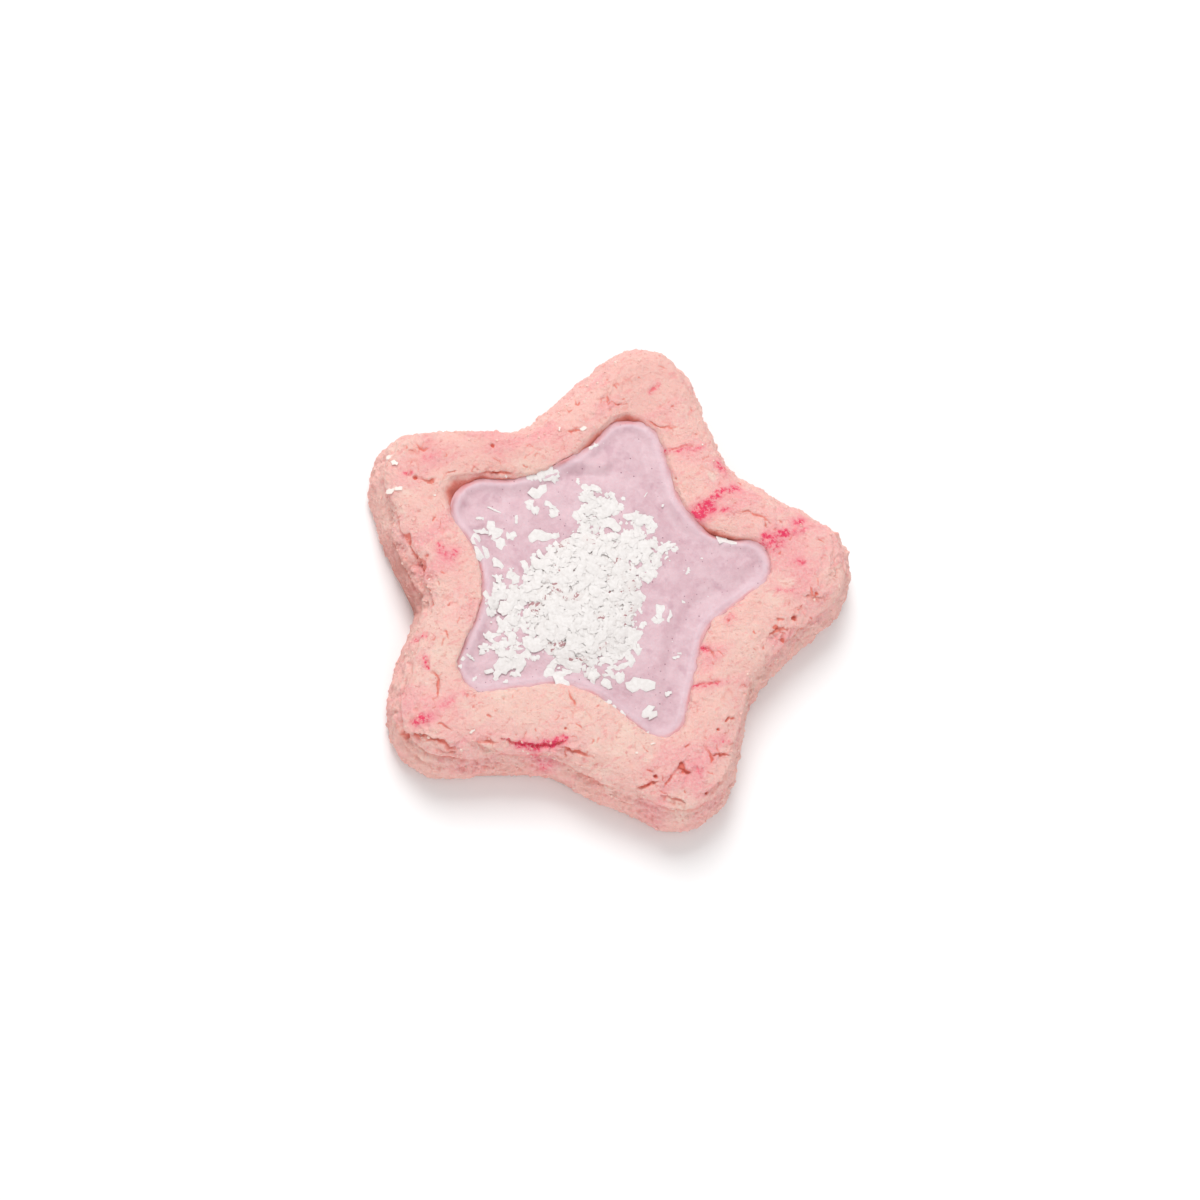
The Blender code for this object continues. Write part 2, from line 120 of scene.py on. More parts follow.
# Holes in the rim: x, y, radius and depth in mm.
DOUGH_HOLES = (
    (30.3, 0.9, 0.45, 0.7), (29.2, -2.7, 0.3, 0.4), (27.6, -1.2, 0.5, 0.3),
    (33, 5.6, 0.3, 0.5), (-21.5, 16.9, 0.3, 0.5), (-32.2, 8.9, 0.35, 0.6),
    (13.4, -28.8, 0.35, 0.6), (-26.2, -29.4, 0.45, 0.8), (21.6, -19.4, 0.3, 0.5),
    (20, -2, 0.25, 0.4), (-29, -4.4, 0.5, 0.9), (22, -29.6, 0.3, 0.5),
    (7.5, 18.6, 0.25, 0.4), (-1.6, -24.6, 0.25, 0.3), (-29.6, -3.4, 0.3, 0.5),
)
# Where the pocket's wall slopes instead of standing upright: x, y, radius, how far its foot
# reaches in, how far its lip lies further out (mm) and painted brown shade from 0 to 1.
POCKET_SLOPES = (
    (-26.3, 8.6, 3, 0.2, 2, 1), (-22, 11.5, 2.6, 0.3, 0.3, 0.9),
    (-1.2, 27.4, 2.8, 0.3, 0.7, 0.9), (-6, 22, 3.2, 0.4, 0.5, 0.9),
    (16.5, 11.7, 3, 0.4, 0.5, 1), (21.5, 12.4, 2.2, 0.1, 0.3, 0.7),
    (-19.8, -8, 3, 0.2, 0, 0.4),
)
# Where the hand-cut outline strays from the cutter's: x, y, radius, then how far the dough
# lies to the right and up the table (mm).
DOUGH_STRAYS = (
    (6.1, 38.1, 3.5, -0.35, -0.65), (-25.4, 20.2, 4, -0.1, 0.4), (-35.5, 16.6, 3.5, -0.2, 0.45),
    (-38, 3.8, 3.6, 1.3, 0.1), (-29, -23.5, 5, 0.5, 0.1), (3.5, -33.4, 6.5, 0, -0.4),
    (24, -31.6, 3.5, -0.4, 0.4), (30.4, -6.4, 4, 0.35, -0.35), (34.4, 18.4, 4.5, 0.2, 0.4),
    (20.5, -35, 4, 0.1, -0.5), (-28.2, -12, 3, 0.4, 0), (-34.5, -2.8, 3, -0.3, 0),
)
# Torn ledges along the wall, where the dough above overhangs the dough below: start and
# end angle in degrees, height, depth of the step and how far down it fades, in mm.
DOUGH_LEDGES = (
    (150, 176, 9.7, 0.3, 2), (172, 192, 10.2, 0.5, 2.4),
    (186, 205, 9.9, 0.75, 2.8), (178, 196, 6.9, 0.45, 2.4),
    (194, 212, 7.4, 0.4, 2.6), (206, 224, 9.5, 0.3, 2),
    (218, 252, 8.6, 0.6, 1.6), (224, 256, 6.4, 0.6, 1.6),
    (220, 244, 4.2, 0.45, 1.8), (248, 272, 9.4, 0.3, 2),
    (264, 292, 8.4, 0.35, 1.8), (272, 304, 5.8, 0.35, 2),
    (288, 318, 9.2, 0.35, 2), (300, 322, 6.4, 0.3, 1.8),
    (318, 346, 9.6, 0.4, 2.2), (326, 342, 6, 0.35, 2),
    (344, 368, 9.3, 0.4, 2.2), (350, 376, 6.6, 0.35, 2.2),
    (12, 40, 9.5, 0.3, 2.2), (30, 54, 6, 0.35, 2.2),
    (52, 84, 9.4, 0.3, 2), (66, 96, 5.6, 0.35, 2.2),
    (92, 128, 9.5, 0.3, 2), (112, 144, 6.2, 0.35, 2.2),
    (128, 156, 9.2, 0.3, 2),
)
# Torn edges of a layer, with lower dough on the right of the path: drop, how far it fades
# (mm) and painted shade below the edge from 0 to 1, then the points that they pass through.
DOUGH_TEARS = (
    (0.5, 2.6, 0.25, ((-37, 9.4), (-37.4, 7), (-36.2, 5.4), (-35.2, 4), (-34.6, 1.6),
                      (-34, 0.4), (-33, -0.6), (-31.6, -1.4), (-30.4, -2), (-29.8, -2.8))),
    (0.5, 1.4, 0.7, ((-30.6, -3.8), (-29.6, -4), (-28.8, -4.6), (-28, -5.6))),
    (0.5, 2, 0.4, ((-28, -5.6), (-27.6, -6.6), (-27, -7.4), (-27.2, -9), (-27.6, -10.6),
                     (-28, -11.8))),
    (0.5, 1, 0.6, ((-35.4, -1.2), (-33.4, -3), (-31.4, -4.6), (-30.2, -6.4), (-29.6, -8.6))),
    (0.6, 1.1, 0.9, ((-26.8, -28.4), (-26.2, -29.7), (-24.8, -30.6), (-22, -30.3), (-19.6, -30.5),
                     (-17.8, -30.9), (-16.4, -31.5))),
    (0.4, 0.9, 0.6, ((-20.4, -31.7), (-18.4, -32.1), (-16.4, -31.9), (-14.6, -32))),
    (0.4, 1.2, 0.3, ((-16, -29.7), (-13.6, -30.2), (-11, -30), (-8, -30.6))),
    (0.35, 0.9, 0.5, ((-1, -30.2), (2, -29.8), (5, -30.6), (8, -32.4))),
    (0.3, 1.4, 0.3, ((15.8, -27.6), (16.6, -26.3), (18.6, -26.7), (20.4, -25.4))),
    (0.4, 1, 0.6, ((14.8, -31.8), (15.8, -31), (17, -31.3), (18.4, -31.2), (19.8, -32))),
    (0.35, 1.2, 0.4, ((21, -29.8), (22.4, -28.9), (23.4, -27), (24, -25))),
    (0.3, 0.8, 0.2, ((25.6, -3.2), (27.4, -2.4), (29.4, -1.4), (31, -0.2), (33.2, 0.6))),
    (0.35, 0.8, 0.5, ((30.6, 4.4), (31.8, 5.2), (33.6, 5), (34.8, 6))),
    (0.3, 0.8, 0.3, ((33.8, 8.4), (35.4, 9.8), (36, 12))),
    (0.3, 0.8, 0.5, ((-34.6, 12.8), (-33, 13.3), (-32.2, 14.6), (-31.4, 15.8))),
    (0.25, 0.6, 0.3, ((-7.6, 28.4), (-6, 29.4), (-5.4, 31.4))),
)
# Zones where the skin tore while it was rolled: x, y, radius in mm and strength.
DOUGH_TORN = (
    (-36, 3, 2, 0.4), (-31.5, -1.4, 1.6, 0.4), (-28.6, -5.6, 1.6, 0.4), (-27.4, -9.6, 1.6, 0.4),
    (-27.6, -27.6, 2, 0.4), (-23, -31, 2.6, 0.4), (-17.5, -32.4, 2.6, 0.4),
    (-12, -30.6, 3, 0.4), (-4, -30, 3.2, 0.4), (2.4, -29.4, 3, 0.5),
    (13, -29.6, 2.4, 0.4), (17.4, -26.6, 2.4, 0.4), (22, -22.6, 1.8, 0.3),
    (17.6, -31.8, 2.6, 0.5), (13.4, -32.6, 2.6, 0.4), (28.6, -1, 2.4, 0.5), (31, 2.4, 1.8, 0.4),
    (-22, 12.4, 2.4, 0.4), (-30.4, 9.2, 2, 0.2), (-33, 14.4, 2, 0.4),
    (-6, 29, 2, 0.3), (9.4, 17.4, 1.6, 0.3), (20.4, 16, 2.6, 0.4), (-15.4, 17, 2, 0.3),
    (-22.4, -22.6, 2, 0.4), (24.8, -6.6, 2, 0.4), (31.6, 6.6, 2, 0.4), (34.4, 12.6, 2.2, 0.4),
    (-24.6, -16.6, 1.6, 0.3), (5.4, 27, 2, 0.3),
)
# Crimson streaks: half width in mm and strength, then the points that they pass through.
DOUGH_STREAKS = (
    (0.5, 0.9, ((17.6, 19.6), (16.6, 19.1))),
    (0.45, 0.8, ((15.7, 18.4), (14.8, 17.6))),
    (0.55, 1, ((14.6, 17.4), (13.6, 16))),
    (0.95, 1.4, ((13.4, 15.6), (12.7, 14.6), (12.1, 13.7))),
    (0.35, 0.55, ((13.8, 14.7), (14.6, 15.2))),
    (0.3, 0.6, ((16, 15.3), (16.8, 15.7))),
    (0.5, 0.8, ((28.7, 17.3), (27.9, 16.4))),
    (0.35, 0.6, ((29.2, 15.8), (27.8, 14.8))),
    (0.45, 0.9, ((26.2, 14.2), (25.2, 13.5))),
    (0.5, 1, ((24.4, 13.1), (23.2, 12.4))),
    (0.7, 0.8, ((24.8, 12.2), (23, 11.2))),
    (0.5, 0.6, ((26, 12.4), (24.8, 10.8))),
    (0.45, 0.5, ((30, 10.2), (28.4, 9.6))),
    (0.6, 0.8, ((13.4, 22.8), (14.6, 22))),
    (0.15, 0.4, ((1.2, 31.6), (1.5, 32.5), (2, 33.7))),
    (0.35, 0.6, ((4.6, 22.7), (7, 23.2))),
    (0.2, 0.7, ((7.2, 22.9), (8.2, 24))),
    (0.2, 0.45, ((8, 23.6), (11, 25))),
    (0.7, 0.8, ((-24.2, -28.6), (-22.4, -27.6))),
    (0.8, 0.35, ((-21, -25.8), (-17.8, -23))),
    (0.8, 0.3, ((-27.4, -24.6), (-26.6, -23.4))),
    (0.25, 1.1, ((-8.4, -28.6), (-5.4, -28.2), (-3.2, -27.4), (-1.4, -26.2))),
    (0.4, 0.5, ((-5.2, -29.7), (-2.4, -29.7))),
    (0.8, 0.45, ((19, -26.5), (19.8, -26.8))),
    (0.15, 0.6, ((16.2, -13.8), (18.4, -12.8), (21.4, -11.9))),
    (0.2, 0.7, ((16.2, -8.2), (16.4, -7.2), (17.6, -7.2))),
    (0.7, 0.4, ((-31.2, 12.6), (-30.6, 12.9))),
    (0.7, 0.3, ((-31.6, 15.9), (-31, 14.4))),
    (0.7, 0.7, ((16, -35.6), (17.4, -35.8))),
    (0.7, 0.25, ((-28.4, -7), (-27.2, -6))),
    (0.7, 0.6, ((-26.4, -1.2), (-25.2, -2.2))),
    (0.5, 0.6, ((-24.6, -2.8), (-23.8, -1.4))),
    (0.35, 0.8, ((-24.8, -18.6), (-24.4, -20))),
    (0.5, 0.5, ((19.8, -2.2), (20.4, -1.2))),
    (0.15, 0.5, ((-34, 9.4), (-33, 9.6))),
    (0.45, 0.5, ((21.6, -21.2), (23.4, -20.8))),
    (0.5, 0.5, ((-27.2, -16), (-25.8, -15))),
    (0.4, 0.5, ((26.8, 4.6), (29, 5.2))),
)
# Soft patches of pinker, of paler and of browner dough: x, y, radius in mm and strength.
DOUGH_PINKS = (
    (20, 17.4, 5, 0.35), (26.5, 14, 4.5, 0.6), (29, 9, 4, 0.5), (9, 24.6, 3, 0.3),
    (13.8, 22, 3, 0.6), (-18, 19, 4, 0.25), (-12.8, 21, 3, 0.5),
    (-23, 15.5, 5, 0.2), (-31.5, 14, 3, 0.6), (-25, -2, 4, 0.4),
    (-32, -1.2, 4, 0.4), (-19, -24.5, 3.5, 0.6), (-26, -25, 3, 0.4),
    (-17, -31, 4, 0.5), (-4, -29.6, 5, 0.5), (13, -29.5, 5, 0.3),
    (19, -25.4, 3.5, 0.4), (21, -30, 5, 0.3), (17.6, -8.6, 3, 0.5),
    (27.5, -1.5, 4.5, 0.2), (33, 3, 4, 0.3), (16.5, -35.4, 2.5, 0.6),
    (22.5, -20.8, 3, 0.4), (-1, 31.5, 6, 0.2), (3, 36.5, 5, 0.15),
)
DOUGH_CREAMS = (
    (-23.4, -13, 5, 0.8), (-23.4, -21.4, 4, 0.7), (-10, -24, 6, 0.7),
    (1, -22.6, 6, 0.7), (9, -24.2, 4, 0.8), (22.4, -5, 4, 0.6),
    (26.6, 5.6, 3, 0.4), (19.4, -13.8, 3, 0.4),
    (11.6, 19.4, 3.5, 0.5), (22.6, 13.6, 2.6, 0.5), (-34.5, 14.5, 3.5, 0.6),
    (-14.5, 14.6, 3.5, 0.6), (18.4, -32.2, 2.6, 1), (-20, -35, 4, 0.6),
    (-34, 4.5, 4, 0.4), (34, 12, 4, 0.4),
)
# The browner patches are partly the dough's tone and partly painted shade.
DOUGH_TANS = (
    (-1, 32, 8, 0.17), (3.5, 38, 5, 0.1), (-21, 16.5, 7, 0.22),
    (-33, 13, 5, 0.12),
)
# Shares of the tables' crack widths and depths that the skin takes.
CRACK_HALF = 0.36
CRACK_DEPTH = 0.4
CRACK_UNDER = 0.3
# How far the paths stray to the side, in mm.
CRACK_STRAY = 0.22
SLIT_STRAY = 0.16
TEAR_STRAY = 0.25
STREAK_STRAY = 0.3
SLIT_COUNT = 110
SLIT_SEED = 23
NOTCH_ANGLE = 192.0


def choose(piece):
    """Deselect everything else, select this piece and make it active."""
    bpy.ops.object.select_all(action="DESELECT")
    piece.select_set(True)
    bpy.context.view_layer.objects.active = piece


def smooth(piece):
    choose(piece)
    bpy.ops.object.shade_smooth()


def apply_modifiers(piece):
    choose(piece)
    for step in list(piece.modifiers):
        bpy.ops.object.modifier_apply(modifier=step.name)


def points_of(piece, kind="co", unit=MM):
    """The piece's points in mm, or their normals, one row each."""
    rows = np.empty(len(piece.data.vertices) * 3, np.float32)
    piece.data.vertices.foreach_get(kind, rows)
    return rows.reshape(-1, 3).astype(float) / unit


def move_points(piece, points):
    piece.data.vertices.foreach_set("co", (points * MM).astype(np.float32).ravel())
    piece.data.update()


def store(piece, name, values):
    """Keep a number between 0 and 1 for each point, for the piece's material to read."""
    layer = piece.data.attributes.new(name, "FLOAT", "POINT")
    layer.data.foreach_set("value", np.clip(values, 0, 1).astype(np.float32))


def rounded_star(corners, offset, steps):
    """Points of a star's filleted outline, moved outward by an offset."""
    sharp = []
    for turn, reach, _ in corners:
        aim = math.radians(turn)
        sharp.append(Vector((reach * math.cos(aim), reach * math.sin(aim))))
    arcs = []
    for index, here in enumerate(sharp):
        radius = corners[index][2]
        back = (sharp[index - 1] - here).normalized()
        ahead = (sharp[(index + 1) % len(sharp)] - here).normalized()
        half = back.angle(ahead) / 2.0
        centre = here + (back + ahead).normalized() * (radius / math.sin(half))
        first = here + back * (radius / math.tan(half)) - centre
        last = here + ahead * (radius / math.tan(half)) - centre
        start = math.atan2(first.y, first.x)
        sweep = math.atan2(last.y, last.x) - start
        sweep = (sweep + math.pi) % math.tau - math.pi
        far = radius + (offset if index % 2 == 0 else -offset)
        turns = [start + sweep * step / steps for step in range(steps + 1)]
        arcs.append([centre + Vector((math.cos(a), math.sin(a))) * far for a in turns])
    outline = []
    for index, points in enumerate(arcs):
        outline.extend(points)
        end = arcs[(index + 1) % len(arcs)][0]
        outline.extend(points[-1].lerp(end, step / steps) for step in range(1, steps))
    return outline


def ring_at(corners, offset, height):
    return [(point.x, point.y, height) for point in rounded_star(corners, offset, RING_STEPS)]


def star_block(name, rings):
    """A closed block: a flat star extruded once for each further ring, then each ring of
    points moved to its own outline and height."""
    foot = rings[0]
    bpy.ops.mesh.primitive_circle_add(vertices=len(foot), radius=0.02, fill_type="NGON")
    block = bpy.context.object
    block.name = name
    for point, spot in zip(block.data.vertices, foot):
        point.co = (spot[0] * MM, spot[1] * MM, 0)
    bpy.ops.object.mode_set(mode="EDIT")
    bpy.ops.mesh.select_all(action="SELECT")
    for _ in rings[1:]:
        bpy.ops.mesh.extrude_region_move(TRANSFORM_OT_translate={"value": (0, 0, MM)})
    bpy.ops.mesh.select_all(action="SELECT")
    bpy.ops.mesh.normals_make_consistent(inside=False)
    bpy.ops.object.mode_set(mode="OBJECT")
    spots = points_of(block)
    corners = np.array(foot)
    gaps = np.hypot(spots[:, None, 0] - corners[:, 0], spots[:, None, 1] - corners[:, 1])
    layers = np.rint(spots[:, 2]).astype(int)
    move_points(block, np.array(rings)[layers, gaps.argmin(1)])
    return block


def soften(piece, passes):
    smoothing = piece.modifiers.new("soften", "SMOOTH")
    smoothing.factor = 0.5
    smoothing.iterations = passes


def even_skin(piece, voxel, passes):
    """Remesh a closed block to small even faces and soften the steps that this leaves."""
    remesh = piece.modifiers.new("even_skin", "REMESH")
    remesh.mode = "VOXEL"
    remesh.voxel_size = voxel * MM
    soften(piece, passes)
    apply_modifiers(piece)


def lighten(piece, faces, group=""):
    """Collapse the flattest faces, of one vertex group if named, down to a face count."""
    sides = sum(len(face.vertices) - 2 for face in piece.data.polygons)
    fewer = piece.modifiers.new("fewer", "DECIMATE")
    fewer.vertex_group = group
    fewer.ratio = min(1, faces / sides)
    apply_modifiers(piece)


def swell(points, size, seed, stretch=(1, 1, 1)):
    """Smooth rise and fall between about -1 and 1 over lengths of about one size."""
    spots = points * np.array(stretch) / size + np.array((seed, 2.0 * seed, 0.5 * seed))
    return np.array([noise.noise(spot) for spot in spots.tolist()]) * 1.6


def ease(values, low, high):
    """0 below the low value and 1 above the high one, with a smooth rise between them."""
    share = np.clip((values - low) / (high - low), 0, 1)
    return share * share * (3.0 - 2.0 * share)


def hump(values, middle, width):
    """1 at the middle value, and close to 0 beyond two widths from it."""
    return np.exp(-((values - middle) / width) ** 2)


def near_spot(points, x, y, radius, ragged=0):
    """1 at a spot, and close to 0 beyond two radii from it."""
    return hump(np.hypot(points[:, 0] - x, points[:, 1] - y) / radius + ragged, 0, 1)


def arch(share, power):
    """0 at both ends of a path and 1 in its middle."""
    return np.sin(np.pi * np.clip(share * 0.96 + 0.02, 0, 1)) ** power


def wandering(path, steps, reach):
    """The path's points with more between them, each nudged to one side or the other."""
    points = []
    for start, end in zip(path, path[1:]):
        for step in range(steps):
            point = Vector(start).lerp(Vector(end), step / steps)
            nudge = noise.noise(Vector((point.x / 0.9 + 6.6, point.y / 0.9 + 13.2, 3.3)))
            other = noise.noise(Vector((point.x / 0.9 + 1.6, point.y / 0.9 + 3.2, 7.3)))
            points.append(point + Vector((other, nudge)) * reach * 1.6)
    points.append(Vector(path[-1]))
    return np.array([tuple(point) for point in points])


def along_path(flat, path, margin):
    """For the points near a path: their numbers, distance from it, side, share along it
    and the direction across it."""
    low = path.min(0) - margin
    high = path.max(0) + margin
    near = np.nonzero(((flat > low) & (flat < high)).all(1))[0]
    spots = flat[near]
    best = np.full(len(near), 1e9)
    side = np.zeros(len(near))
    share = np.zeros(len(near))
    across = np.zeros((len(near), 2))
    steps = len(path) - 1
    for index in range(steps):
        start = path[index]
        run = path[index + 1] - start
        length = max(1e-9, float(run @ run))
        t = np.clip((spots - start) @ run / length, 0, 1)
        gap = spots - start - t[:, None] * run
        distance = np.hypot(gap[:, 0], gap[:, 1])
        closer = distance < best
        best[closer] = distance[closer]
        cross = run[0] * gap[:, 1] - run[1] * gap[:, 0]
        side[closer] = np.sign(cross)[closer]
        share[closer] = ((index + t) / steps)[closer]
        across[closer] = np.array((-run[1], run[0])) / math.sqrt(length)
    return near, best, side, share, across


def polar_reach(outline):
    """Angles and reaches of an outline in order, for interpolation round the star."""
    spots = np.array([tuple(point) for point in outline])
    turns = np.degrees(np.arctan2(spots[:, 1], spots[:, 0])) % 360.0
    order = np.argsort(turns)
    turns = turns[order]
    reaches = np.hypot(spots[:, 0], spots[:, 1])[order]
    turns = np.concatenate((turns[-1:] - 360, turns, turns[:1] + 360))
    reaches = np.concatenate((reaches[-1:], reaches, reaches[:1]))
    return turns, reaches


dough_rings = [ring_at(DOUGH_CORNERS, offset, height) for offset, height in DOUGH_WALL]
shoulder = dough_rings[-1]
lip = ring_at(POCKET_CORNERS, *DOUGH_LIP[0])
for share, height in DOUGH_RIM:
    dough_rings.append([(a[0] + (b[0] - a[0]) * share, a[1] + (b[1] - a[1]) * share, height)
                        for a, b in zip(shoulder, lip)])
for offset, height in DOUGH_LIP:
    dough_rings.append(ring_at(POCKET_CORNERS, offset, height))
dough = star_block("star_dough", dough_rings)
even_skin(dough, DOUGH_VOXEL, DOUGH_SOFTEN)

skin = points_of(dough)
out = points_of(dough, "normal", 1)
flat = skin[:, :2]
angle = np.degrees(np.arctan2(skin[:, 1], skin[:, 0])) % 360.0
reach = np.hypot(skin[:, 0], skin[:, 1])
pocket_side = reach - np.interp(angle, *polar_reach(rounded_star(POCKET_CORNERS, 0, FINE_STEPS)))
in_pocket = ease(-pocket_side, -0.7, -0.1)
facing_up = ease(out[:, 2], 0.3, 0.8)
wall = ease(1.0 - np.abs(out[:, 2]), 0.2, 0.7) * (1.0 - in_pocket)
off_base = ease(skin[:, 2], 0.1, 1)
rim = facing_up * ease(skin[:, 2], 8.6, 10.2) * (1.0 - in_pocket)
bare = np.maximum(rim, wall)

broad = swell(skin, 9, 3.1)
rolling = swell(skin, 8, 5.3, (1, 1, 0))
lumps = swell(skin, 2.6, 31)
crumbs = swell(skin, 1.15, 41)
grains = swell(skin, 0.5, 51)
nubs = np.abs(swell(skin, 1.7, 61))
rough = ease(swell(skin, 7, 71), -0.5, 0.5)
torn = np.zeros(len(skin))
for x, y, radius, strength in DOUGH_TORN:
    torn = np.maximum(torn, strength * near_spot(skin, x, y, radius, 0.3 * lumps))

# Hairline wrinkles run where a slow noise crosses zero, and only here and there.
wrinkles = np.zeros(len(skin))
for size, seed in ((3.4, 91), (2.2, 101)):
    crossing = hump(swell(skin, size, seed), 0, 0.09)
    shown = ease(swell(skin, 2.6, seed + 4), 0.25 - 0.5 * torn, 0.7 - 0.5 * torn)
    wrinkles = np.maximum(wrinkles, crossing * shown)
wrinkles *= bare

rise = rim * (0.3 * rolling + 0.1 * lumps + (0.05 + 0.05 * rough) * crumbs + 0.05 * grains)
rise += wall * (0.4 * broad + 0.2 * lumps + (0.18 + 0.12 * rough) * crumbs + 0.13 * grains)
rise -= wall * 0.3 * (1.0 - nubs) * rough
gouges = ease(1.0 - nubs + 0.3 * crumbs, 0.45, 0.95)
rise -= torn * (0.2 * gouges - 0.12 * crumbs - 0.06 * grains) * bare
rise -= (0.09 + 0.1 * torn) * wrinkles

# Thin plates of dough with broken edges: a noise cut into steps, with a drop at each step.
layered = swell(skin, 4.6, 111, (0.6, 0.6, 2.4))
stack = 2.1 * layered + 0.35 * crumbs + 0.16 * grains
part = stack - np.floor(stack)
plates = np.floor(stack) + ease(part, 0.8, 0.98) - stack
flaky = np.clip(0.12 + 0.25 * rough + torn, 0, 1)
rise += (0.36 * flaky * plates) * bare
foot = ease(part, 0.6, 0.8) * (1.0 - ease(part, 0.82, 0.94))
# Painted shade, reddish brown, in the wrinkles and along the foot of each step.
recess_shade = np.maximum(0.4 * wrinkles, 0.5 * ease(flaky, 0.2, 0.9) * foot * bare)
crimson = np.zeros(len(skin))
halo = np.zeros(len(skin))

# The hand-cut outline and the pocket's lip stray sideways.
shift = np.zeros_like(skin)
near_lip = hump(pocket_side, 0, 0.7) * ease(skin[:, 2], 9.4, 10.2)
outward = flat / reach[:, None]
shift[:, :2] += outward * (near_lip * (0.16 * lumps + 0.2 * crumbs + 0.08 * grains))[:, None]
for x, y, radius, right, up in DOUGH_STRAYS:
    local = near_spot(skin, x, y, radius)
    shift[:, :2] += (local * ease(pocket_side, 1, 4))[:, None] * np.array((right, up))
lower = ease(11.1 - skin[:, 2], 0, 1.6)
within = ease(pocket_side, -1.2, -0.2)
past_lip = hump(np.maximum(pocket_side, 0), 0, 2.6)
# The slopes take painted shade, brown, deepening below the lip.
sunk = ease(11.2 - skin[:, 2], 0.1, 1.1) * (pocket_side < 0.6)
slope_shade = np.zeros(len(skin))
for x, y, radius, inner, outer, shade in POCKET_SLOPES:
    local = near_spot(skin, x, y, radius)
    foot_in = inner * local * lower * within * (pocket_side < 1)
    lip_out = outer * local * past_lip * (1.0 - lower) * within
    shift[:, :2] += outward * (lip_out - foot_in)[:, None]
    slope_shade = np.maximum(slope_shade, shade * local * sunk)

for start, end, level, depth, fade in DOUGH_LEDGES:
    share = ((angle - start) % 360) / (end - start)
    near = np.nonzero((share < 1) & (pocket_side > 2))[0]
    fullness = np.sin(np.pi * share[near]) ** 0.5
    fullness *= ease(layered[near] + 0.3 * crumbs[near], -0.8, -0.2)
    drift = 0.4 * lumps[near] + 0.3 * crumbs[near] + 0.14 * grains[near]
    below = level + drift + 0.6 * broad[near] - skin[near, 2]
    step = ease(below, 0, 0.3) * (1.0 - ease(below, 0.5, fade + 0.5))
    rise[near] += fullness * (0.16 * hump(below, -0.35, 0.3) - depth * step)
    # Painted shade in the step under each ledge.
    shade = ease(below, 0, 0.2) * (1.0 - ease(below, 0.35, 1)) * fullness
    recess_shade[near] = np.maximum(recess_shade[near], shade * min(1, depth * 1.5))


def open_crack(width, depth, lift, under, red, path, wander):
    """Open one ragged crack in the dough's skin along a path."""
    near, distance, side, share, across = along_path(flat, wandering(path, 5, wander), 2.5)
    fullness = np.clip(arch(share, 0.6) * (1.0 + 0.5 * crumbs[near]), 0, 1.2)
    half = width * CRACK_HALF * fullness + 0.03
    ragged = distance + (0.14 * grains[near] + 0.16 * crumbs[near]) * min(1, width * 1.5)
    groove = ease(1.0 - ragged / (half + 0.12), 0, 0.6) * np.clip(fullness * 1.4, 0, 1)
    deep = CRACK_DEPTH * depth
    bank = hump(distance, half, 0.7) * (side > 0)
    place = facing_up[near]
    rise[near] += place * (lift * bank * fullness * (1.0 - groove) - deep * groove)
    shift[near, :2] += across * (CRACK_UNDER * under * groove * place)[:, None]
    # Painted shade, reddish brown, in the crack's groove.
    recess_shade[near] = np.maximum(recess_shade[near], groove * min(1, 0.5 + 1.5 * deep) * place)
    if red:
        stain = red * place * fullness * ease(half + 0.35 - ragged, 0, 0.4)
        crimson[near] = np.maximum(crimson[near], stain)


for crack in DOUGH_CRACKS:
    open_crack(*crack, CRACK_STRAY)

for drop, fade, tint, path in DOUGH_TEARS:
    trail = wandering(path, 5, TEAR_STRAY)
    near, distance, side, share, across = along_path(flat, trail, 3.5)
    fullness = arch(share, 0.5)
    fullness *= np.maximum(facing_up, wall)[near] * ease(skin[near, 2], 5, 8)
    beyond = 0.25 * crumbs[near] + 0.28 * grains[near] - side * distance
    step = ease(beyond, -0.06, 0.16) * np.exp(-np.maximum(beyond, 0) / fade)
    brink = hump(beyond, -0.3, 0.3)
    rise[near] += fullness * (0.2 * drop * brink - drop * step)
    shift[near, :2] -= across * (0.14 * brink * fullness)[:, None]
    # Painted shade on the lower dough just past the torn edge.
    shade = tint * fullness * ease(beyond, 0, 0.12) * (1.0 - ease(beyond, 0.35, 1.1))
    recess_shade[near] = np.maximum(recess_shade[near], shade)

# Short hairline slits, scattered between the outline and the pocket.
draw = random.Random(SLIT_SEED)
outer_turns = polar_reach(rounded_star(DOUGH_CORNERS, -1.5, FINE_STEPS))
inner_turns = polar_reach(rounded_star(POCKET_CORNERS, 1.2, FINE_STEPS))
for _ in range(SLIT_COUNT):
    turn = draw.uniform(0, 360)
    far = draw.uniform(float(np.interp(turn, *inner_turns)), float(np.interp(turn, *outer_turns)))
    spot = Vector((far * math.cos(math.radians(turn)), far * math.sin(math.radians(turn))))
    path = [spot]
    aim = math.radians(draw.gauss(12, 40))
    for _ in range(draw.randint(2, 4)):
        aim += draw.gauss(0, 0.7)
        spot = spot + Vector((math.cos(aim), math.sin(aim))) * draw.uniform(0.15, 0.6)
        path.append(spot)
    size = 0.03 + 0.2 * draw.random() ** 2
    open_crack(size, 0.15 + size, 0.05, 0, 0, path, SLIT_STRAY)

for x, y, radius, depth in DOUGH_HOLES:
    distance = np.hypot(skin[:, 0] - x, skin[:, 1] - y)
    ragged = distance / radius + 0.35 * crumbs + 0.2 * grains
    pit = ease(1.25 - ragged, 0, 0.7) * (distance < 3) * facing_up
    rise -= depth * pit
    # Painted shade, reddish brown, inside each pit.
    recess_shade = np.maximum(recess_shade, pit)

